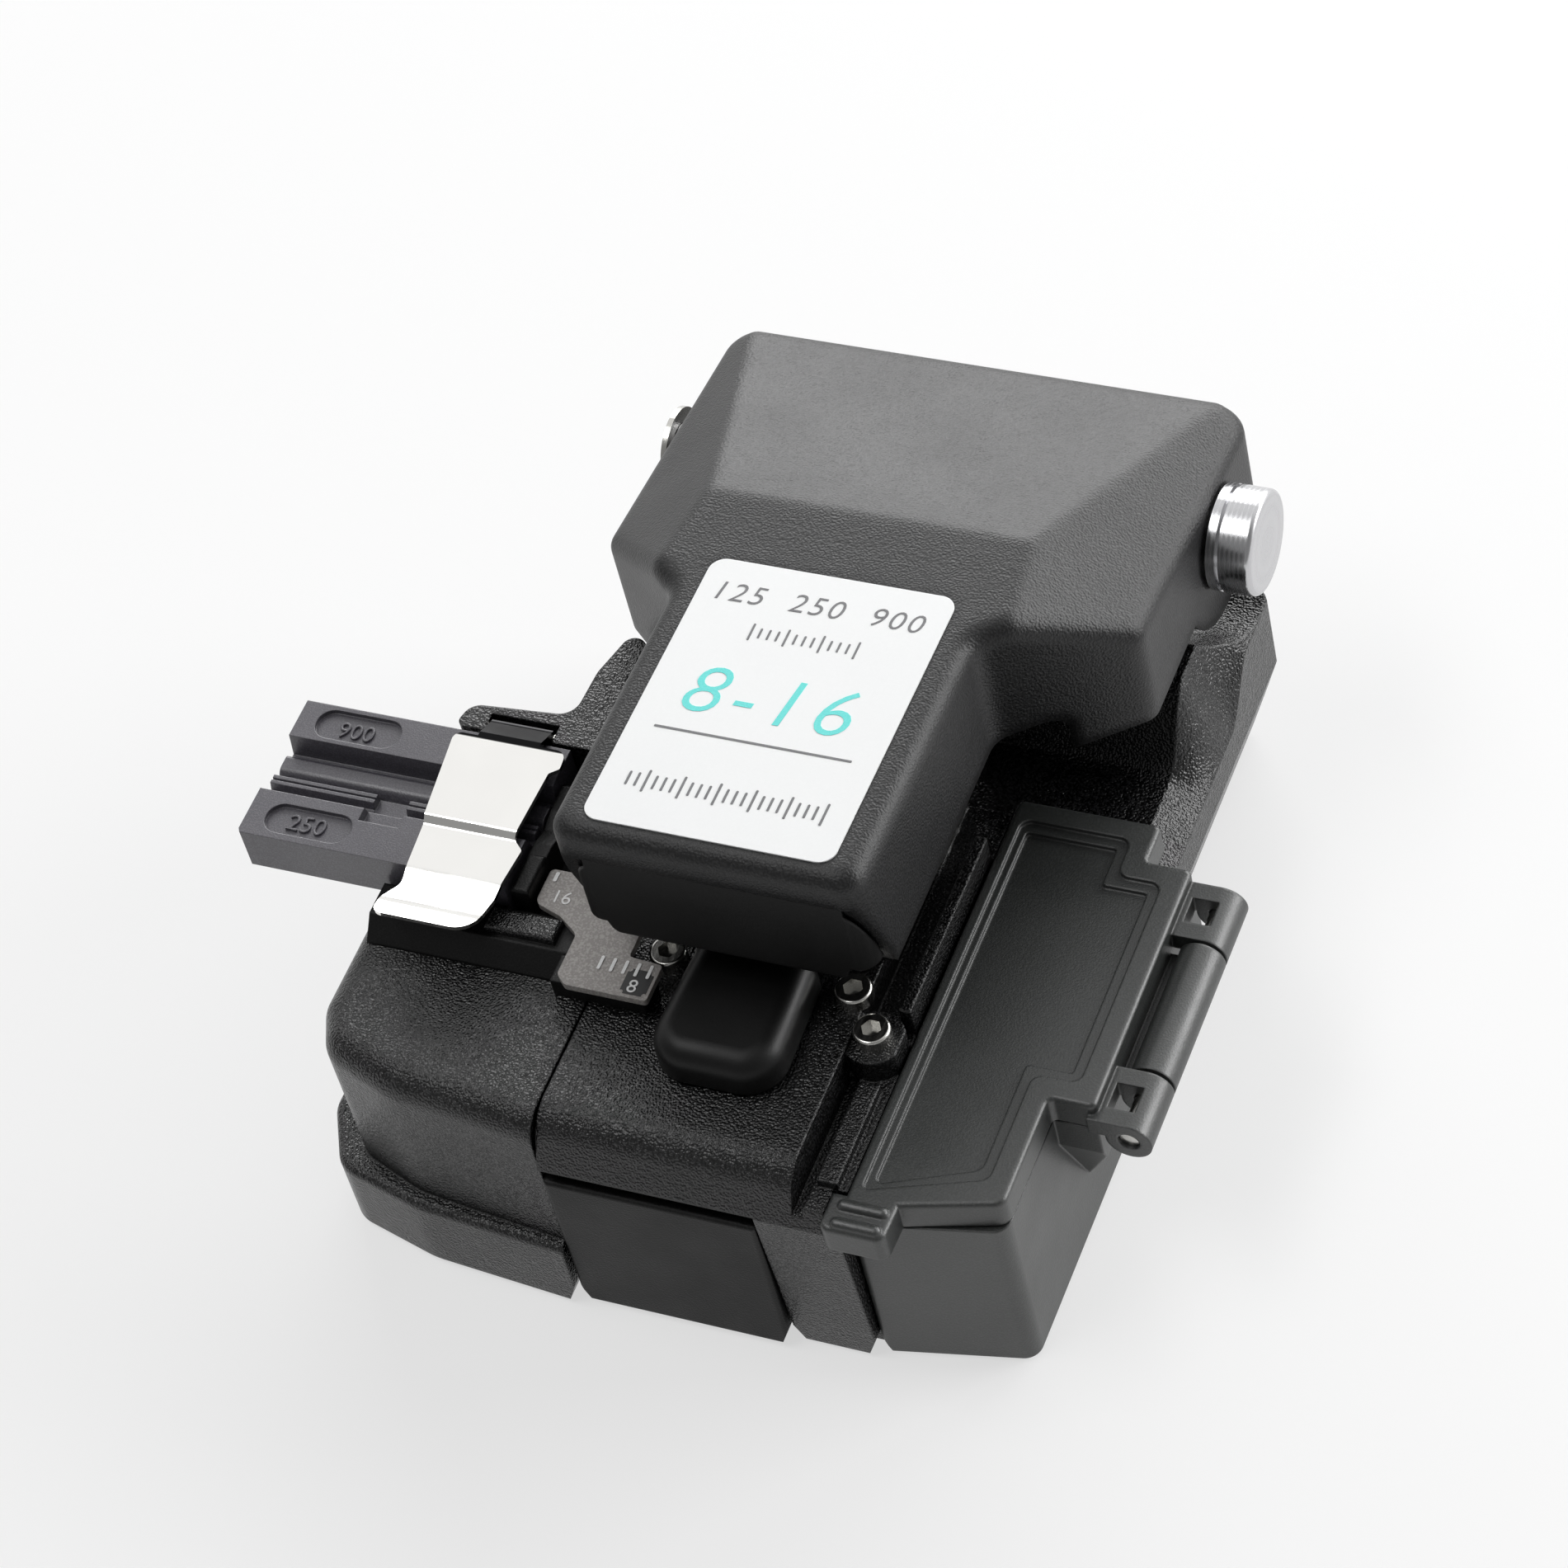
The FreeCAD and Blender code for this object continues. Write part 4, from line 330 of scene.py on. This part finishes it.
# %% Rubber, coated metal, anodised aluminium and carbide
# Nitrile rubber: flat and dark, with no highlight at all.
nitrile = moulded("nitrile_rubber", ("#141414", "#1a1a1a"), grain_mm=0.3, depth_mm=0.03,
                  rough=(0.7, 0.8), shine=0.4, soft_mm=0.3)
# Powder coat: a faint orange peel under a low sheen.
coated_metal = moulded("powder_coat_black", ("#1a1b1d", "#1f2022"), grain_mm=0.5, depth_mm=0.02,
                       rough=(0.35, 0.45), shine=0.5, soft_mm=0.2)
# Black anodising: metal seen through a dark, dull skin.
anodised = plain_metal("anodised_aluminium_black", "#3a3b3f", roughness=0.42, streak_mm=0.2, depth_mm=0.001)
# Ground carbide: a cool, dark mirror.
carbide = plain_metal("ground_carbide", "#8b8c92", roughness=0.25, streak_mm=0.12, depth_mm=0.001)
wear(["base_mat", "lower_pads", "upper_pads", "anvil_pad"], nitrile)
wear(["base_plate", "lower_clamp_left", "lower_clamp_right", "upper_clamp_left", "upper_clamp_right"],
     coated_metal)
wear(["carriage_slide"], anodised)
wear(["blade_wheel"], carbide)
print("rubber, powder coat, anodising and carbide made")

# %% [markdown]
# ## Label film and scale plate
# The label is a white polyester film stuck in a shallow bed, and the scale plate is matt grey plastic.
# Their printed marks are thin raised pieces of their own, made below, so here each gets only its ground
# colour. A printed picture would do for both, but its edges would blur close up.

# %% White film and grey plate
# Film: plain white with a slight, even gloss.
label_film = moulded("white_polyester_film", ("#f0f1f1", "#f1f2f2"), grain_mm=0.2, depth_mm=0.0008,
                     rough=(0.35, 0.42), shine=0.5, soft_mm=0.05)
# Plate: a warm, dusty grey with no gloss.
plate_grey = moulded("matt_grey_plate", ("#8c8885", "#a4a09d"), grain_mm=0.16, depth_mm=0.02,
                     rough=(0.45, 0.6), shine=0.5, soft_mm=0.1)
wear(["lever_label"], label_film)
wear(["scale_plate"], plate_grey)
print("label and plate have their ground colours")

# %% [markdown]
# ## Raised numerals
# The adapter's recesses carry the coating sizes 250 and 900 (micrometres) as raised numerals, moulded
# with the bar. Numerals are made from a text curve turned to a mesh, so they have real thickness and
# catch the light. A painted texture would stay flat, and a bump would keep straight edges where a
# moulding rounds them.

# %% Two helpers: one finishes a piece, and one makes it from numerals
# A figure is 0.69 of the typeface's size tall, and its edges are rounded by a fifth of its thickness.
FIGURE_SHARE = 0.69
ROUND_SHARE = 0.2
WELD_M = 1e-7


def finish_piece(name, mesh, body, material):
    """Make an object of a mesh, paint it and set it riding on its body."""
    mesh.materials.clear()
    mesh.materials.append(material)
    piece = bpy.data.objects.new(name, mesh)
    bpy.context.scene.collection.objects.link(piece)
    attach(piece, body)
    return piece


def numerals(name, words, middle, height_mm, thick_mm, body, material, slant=0.0, spread=1.0,
             thin_mm=0.0):
    """Words lying flat, centred on a point in mm, read from the front.

    slant leans the figures, spread spaces them, and thin_mm pares their strokes.
    """
    curve = bpy.data.curves.new(name, "FONT")
    curve.body = words
    curve.size = height_mm * MM / FIGURE_SHARE
    curve.bevel_depth = thick_mm * MM * ROUND_SHARE
    curve.extrude = thick_mm * MM / 2 - curve.bevel_depth
    curve.shear = slant
    curve.offset = -thin_mm * MM - curve.bevel_depth
    curve.space_character = spread
    curve.resolution_u = 4
    source = bpy.data.objects.new(name + "_curve", curve)
    bpy.context.scene.collection.objects.link(source)
    bpy.context.view_layer.update()
    mesh = bpy.data.meshes.new_from_object(source)
    bpy.data.objects.remove(source)
    welded = bmesh.new()
    welded.from_mesh(mesh)
    bmesh.ops.remove_doubles(welded, verts=welded.verts, dist=WELD_M)
    bmesh.ops.recalc_face_normals(welded, faces=welded.faces)
    welded.to_mesh(mesh)
    welded.free()
    low = Vector([min(v.co[i] for v in mesh.vertices) for i in range(3)])
    high = Vector([max(v.co[i] for v in mesh.vertices) for i in range(3)])
    mesh.transform(Matrix.Translation(Vector(middle) * MM - (low + high) / 2))
    return finish_piece(name, mesh, body, material)


# %% Coating sizes in the adapter's recesses
bar_low, bar_high = (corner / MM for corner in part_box("adapter_bar"))
RECESS_MM = 0.4
RAISED_MM = 0.22
SUNK_MM = 0.03
figure_x = bar_low.x + 5.1
figure_z = bar_high.z - RECESS_MM + RAISED_MM / 2 - SUNK_MM
back_recess_y = bar_high.y - 1.95
front_recess_y = bar_low.y + 2.0
numerals("size_900", "900", (figure_x, back_recess_y, figure_z), 1.45, RAISED_MM, "adapter",
         adapter_pc)
numerals("size_250", "250", (figure_x, front_recess_y, figure_z), 1.5, RAISED_MM, "adapter",
         adapter_pc)
print("numerals centred at z", round(figure_z, 2), "mm")

# %% [markdown]
# ## Marks on the scale plate
# The plate carries white ticks one millimetre apart and the cleave lengths 8 and 16, the 8 on a small
# dark window. Ink is a film a few hundredths of a millimetre thick, so the marks are thin bars with
# softened corners, joined into one piece. Each sinks a hair into what is under it, so that no light shows
# below.

# %% Ticks, window and lengths on the scale plate
def bars(name, places, thick_mm, body, material, corner_mm=0.05):
    """One piece of thin rounded bars: each place is x, y, z, width, depth in mm."""
    made = bmesh.new()
    for x, y, z, width, depth in places:
        size = Matrix.Diagonal((width * MM, depth * MM, thick_mm * MM, 1.0))
        bmesh.ops.create_cube(made, size=1.0, matrix=Matrix.Translation(Vector((x, y, z)) * MM) @ size)
    upright = [e for e in made.edges if abs(e.verts[0].co.z - e.verts[1].co.z) > thick_mm * MM * 0.9]
    bmesh.ops.bevel(made, geom=upright, offset=corner_mm * MM, segments=3, affect="EDGES")
    mesh = bpy.data.meshes.new(name)
    made.to_mesh(mesh)
    made.free()
    return finish_piece(name, mesh, body, material)


# Screen inks: flat, even tones that neither shine nor show a grain.
white_ink = moulded("white_screen_ink", ("#e2e2e2", "#ebebeb"), grain_mm=0.1, depth_mm=0.004,
                    rough=(0.5, 0.6), shine=0.5, soft_mm=0.02)
dark_ink = moulded("black_screen_ink", ("#121213", "#171718"), grain_mm=0.1, depth_mm=0.004,
                   rough=(0.45, 0.55), shine=0.5, soft_mm=0.02)
plate_low, plate_high = (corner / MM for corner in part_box("scale_plate"))
PITCH_MM = 1.0
TICK_MM = 0.08
INK_MM = 0.04
FIGURE_MM = 1.15
tick_z = plate_high.z + TICK_MM / 2 - 0.005
window_z = plate_high.z + INK_MM / 2 - 0.01
first_tick_x = plate_low.x + 7.2
tick_y = plate_low.y + 2.55
ticks = [(first_tick_x + PITCH_MM * i, tick_y, tick_z, 0.26, 1.25) for i in range(5)]
ticks += [(plate_low.x + 0.7, plate_high.y - 0.7, tick_z, 0.3, 0.9)]
window = (plate_high.x - 1.3, plate_low.y + 1.45, window_z, 2.1, 2.3)
eight = (plate_high.x - 1.5, plate_low.y + 1.05, window_z + 0.03)
sixteen = (plate_low.x + 2.0, plate_high.y - 2.4, plate_high.z + INK_MM / 2 - 0.002)
bars("scale_ticks", ticks, TICK_MM, "body", white_ink)
bars("length_window", [window], INK_MM, "body", dark_ink, corner_mm=0.3)
numerals("length_8", "8", eight, FIGURE_MM, INK_MM, "body", white_ink)
numerals("length_16", "16", sixteen, FIGURE_MM, INK_MM, "body", white_ink)
print("plate top at", round(plate_high.z, 2), "mm, with", len(ticks), "ticks")

# %% [markdown]
# ## Label design
# The label carries a generic chart: the coating sizes 125, 250 and 900 in grey above a short graduation,
# the range of cleave lengths 8-16 in large cyan figures, a grey rule, and a longer graduation along the
# front. The film slopes a little with the lever's top, so each printed piece is made flat and then turned
# by the same slope about the film's front edge. That is simpler than working out the slope for each mark.

# %% Turn a flat mark onto the label's slope
label_low, label_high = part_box("lever_label")
FILM_MM = 0.25
label_rise = math.atan((label_high.z - label_low.z - FILM_MM * MM) / (label_high.y - label_low.y))


def lay_on_label(piece, lift_mm=0.012):
    """Move a piece made at z = 0 onto the film's sloping top."""
    front_edge = Vector((0, label_low.y, label_high.z + lift_mm * MM))
    turn = Matrix.Rotation(-label_rise, 4, "X")
    back = Matrix.Translation(Vector((0, -label_low.y, 0)))
    piece.data.transform(Matrix.Translation(front_edge) @ turn @ back)


print("label slope in degrees", round(math.degrees(label_rise), 2))

# %% Printed chart on the label film
# Label inks: a clean cyan and a mid grey, as flat and even as the white one.
cyan_ink = moulded("cyan_screen_ink", ("#5fd9d4", "#6fdfda"), grain_mm=0.1, depth_mm=0.003,
                   rough=(0.45, 0.55), shine=0.5, soft_mm=0.02)
grey_ink = moulded("grey_screen_ink", ("#68686a", "#747476"), grain_mm=0.1, depth_mm=0.003,
                   rough=(0.45, 0.55), shine=0.5, soft_mm=0.02)
PRINT_MM = 0.03
PRINT_CORNER_MM = 0.04
GRADUATION_MM = 0.7
front_y = label_low.y / MM


def label_words(name, words, x, y, height_mm, material, thin_mm):
    """Slanting figures on the film, centred x right of its middle and y behind its front edge, in mm."""
    return numerals(name, words, (x, front_y + y, 0), height_mm, PRINT_MM, "lever", material,
                    slant=0.15, spread=1.15, thin_mm=thin_mm)


def graduation(count, first_x, y, width, lengths, long_one):
    """Places of a row of divisions, where every fourth has the second length."""
    return [(first_x + GRADUATION_MM * i, front_y + y, 0, width, lengths[i % 4 == long_one])
            for i in range(count)]


divisions = graduation(13, -4.2, 19.8, 0.17, (1.0, 1.7), 0) + graduation(23, -7.7, 4.3, 0.19, (1.3, 2.1), 2)
printed = [label_words("label_lengths", "8-16", -0.2, 13.7, 4.6, cyan_ink, 0.07),
           label_words("label_sizes", "125  250  900", 0, 23.3, 1.8, grey_ink, 0.02),
           bars("label_rule", [(0, front_y + 9.5, 0, 15.6, 0.2)], PRINT_MM, "lever", grey_ink,
                PRINT_CORNER_MM),
           bars("label_divisions", divisions, PRINT_MM, "lever", grey_ink, PRINT_CORNER_MM)]
for piece in printed:
    lay_on_label(piece)
print("printed", len(printed), "pieces, with", len(divisions), "divisions")

# %% [markdown]
# ## Floor and room
# The floor is plain matt white paper, large enough to fill the view. Lighting it to a full white would
# need so much light that the black mouldings would turn grey, so the paper glows a little where the
# camera or a mirror-like surface looks at it, and still takes the tool's shadow. The room does the same:
# it is dim as a light and white to the camera. What a glossy face mirrors is darker toward the front, as
# it is in a studio where the white card stands behind the object, and that keeps the front faces deep.

# %% White paper floor
FLOOR_M = 3.0
GAP_MM = 0.05
PAPER_GLOW = 0.6
floor_mesh = bpy.data.meshes.new("floor")
corners = [(x * FLOOR_M, y * FLOOR_M, 0) for x, y in ((-1, -1), (1, -1), (1, 1), (-1, 1))]
floor_mesh.from_pydata(corners, [], [(0, 1, 2, 3)])
floor = bpy.data.objects.new("floor", floor_mesh)
bpy.context.scene.collection.objects.link(floor)
floor.location.z = -GAP_MM * MM


def seen_directly(tree):
    """One where the camera, a glossy ray or a ray through glass looks; nought for light."""
    rays = add(tree, "ShaderNodeLightPath")
    first = add(tree, "ShaderNodeMath", {0: rays.outputs["Is Camera Ray"], 1: rays.outputs["Is Glossy Ray"]},
                operation="MAXIMUM")
    seen = add(tree, "ShaderNodeMath", {0: first.outputs["Value"], 1: rays.outputs["Is Transmission Ray"]},
               operation="MAXIMUM")
    return seen.outputs["Value"]


# Paper: an even white without any highlight.
paper, tree = new_tree("matt_white_paper")
paint = add(tree, "ShaderNodeBsdfPrincipled", {"Base Color": linear("#f4f4f4"), "Roughness": 0.9})
glow = add(tree, "ShaderNodeEmission", {"Color": (1, 1, 1, 1), "Strength": 1.0})
share = add(tree, "ShaderNodeMath", {0: seen_directly(tree), 1: PAPER_GLOW}, operation="MULTIPLY")
sheet = add(tree, "ShaderNodeMixShader", {"Fac": share.outputs["Value"], 1: paint.outputs["BSDF"],
                                          2: glow.outputs["Emission"]})
add(tree, "ShaderNodeOutputMaterial", {"Surface": sheet.outputs["Shader"]})
floor.data.materials.append(paper)
print("floor", FLOOR_M, "m to each side, glow", PAPER_GLOW)

# %% Room that is dim as a light and white to look at
FILL = 0.18
FRONT_GREY = 0.3
FRONT_TO_BACK = {"From Min": -0.3, "From Max": 0.35}
world = bpy.data.worlds.new("studio")
world.use_nodes = True
tree = world.node_tree
tree.nodes.clear()
fill = add(tree, "ShaderNodeBackground", {"Color": (1, 1, 1, 1), "Strength": FILL})
way = add(tree, "ShaderNodeSeparateXYZ", {"Vector": add(tree, "ShaderNodeTexCoord").outputs["Generated"]})
room = add(tree, "ShaderNodeMapRange", {"Value": way.outputs["Y"], "To Min": FRONT_GREY, "To Max": 1.0,
                                        **FRONT_TO_BACK})
rays = add(tree, "ShaderNodeLightPath")
pale = add(tree, "ShaderNodeMath", {0: room.outputs["Result"], 1: rays.outputs["Is Camera Ray"]},
           operation="MAXIMUM")
white = add(tree, "ShaderNodeBackground", {"Color": pale.outputs["Value"], "Strength": 1.0})
pick = add(tree, "ShaderNodeMixShader", {"Fac": seen_directly(tree), 1: fill.outputs["Background"],
                                         2: white.outputs["Background"]})
add(tree, "ShaderNodeOutputWorld", {"Surface": pick.outputs["Shader"]})
bpy.context.scene.world = world
print("fill light", FILL, "and mirrored front", FRONT_GREY)

# %% [markdown]
# ## Lamps
# One wide softbox stands low behind the tool: the sloping roof and the rounded edges catch it, while the
# front faces stay dark, which is what gives black mouldings their shape. A second from the right back
# lights the side walls. A third hangs high at the front left and draws the soft line along the front
# roundings. Point lamps would give the grain hard glints and the tool hard shadows, so all three are
# wide.

# %% Three softboxes
AIM = Vector((0, 0, 0.02))


def area_light(name, place, size, watts):
    """A softbox at a place in metres, width and height in metres, turned to the tool's middle."""
    data = bpy.data.lights.new(name, "AREA")
    data.shape = "RECTANGLE"
    data.size, data.size_y = size
    data.energy = watts
    lamp = bpy.data.objects.new(name, data)
    lamp.location = place
    lamp.rotation_euler = (AIM - Vector(place)).to_track_quat("-Z", "Y").to_euler()
    bpy.context.scene.collection.objects.link(lamp)
    print(name, watts, "W")


area_light("back_softbox", place=(-0.02, 0.85, 0.36), size=(1.3, 0.5), watts=10.5)
area_light("right_softbox", place=(0.72, 0.42, 0.3), size=(0.45, 0.4), watts=5.0)
area_light("overhead_softbox", place=(-0.3, -0.16, 0.85), size=(0.6, 0.25), watts=2.3)

# %% [markdown]
# ## Camera
# The camera looks down on the tool from its front right corner through a long lens, so parallel edges
# stay nearly parallel. It is also rolled a little, which a constraint that only aims it can't do. So its
# three axes are given as unit vectors, squared up before use.

# %% Camera above the front right corner
EYE_MM = Vector((139.57, -218.04, 328.88))
SENSOR_MM = 36.0
LENS_MM = 121.74
right = Vector((0.9177, 0.3565, -0.1753)).normalized()
toward = Vector((0.3571, -0.5471, 0.7571)).normalized()
up = toward.cross(right).normalized()
right = up.cross(toward)
lens = bpy.data.cameras.new("camera")
lens.sensor_width = SENSOR_MM
lens.lens = LENS_MM
lens.clip_start, lens.clip_end = 0.01, 20.0
camera = bpy.data.objects.new("camera", lens)
camera.matrix_world = Matrix.Translation(EYE_MM * MM) @ Matrix((right, up, toward)).transposed().to_4x4()
bpy.context.scene.collection.objects.link(camera)
bpy.context.scene.camera = camera
bpy.context.scene.view_settings.view_transform = "Standard"
print("camera", [round(v, 3) for v in camera.location])
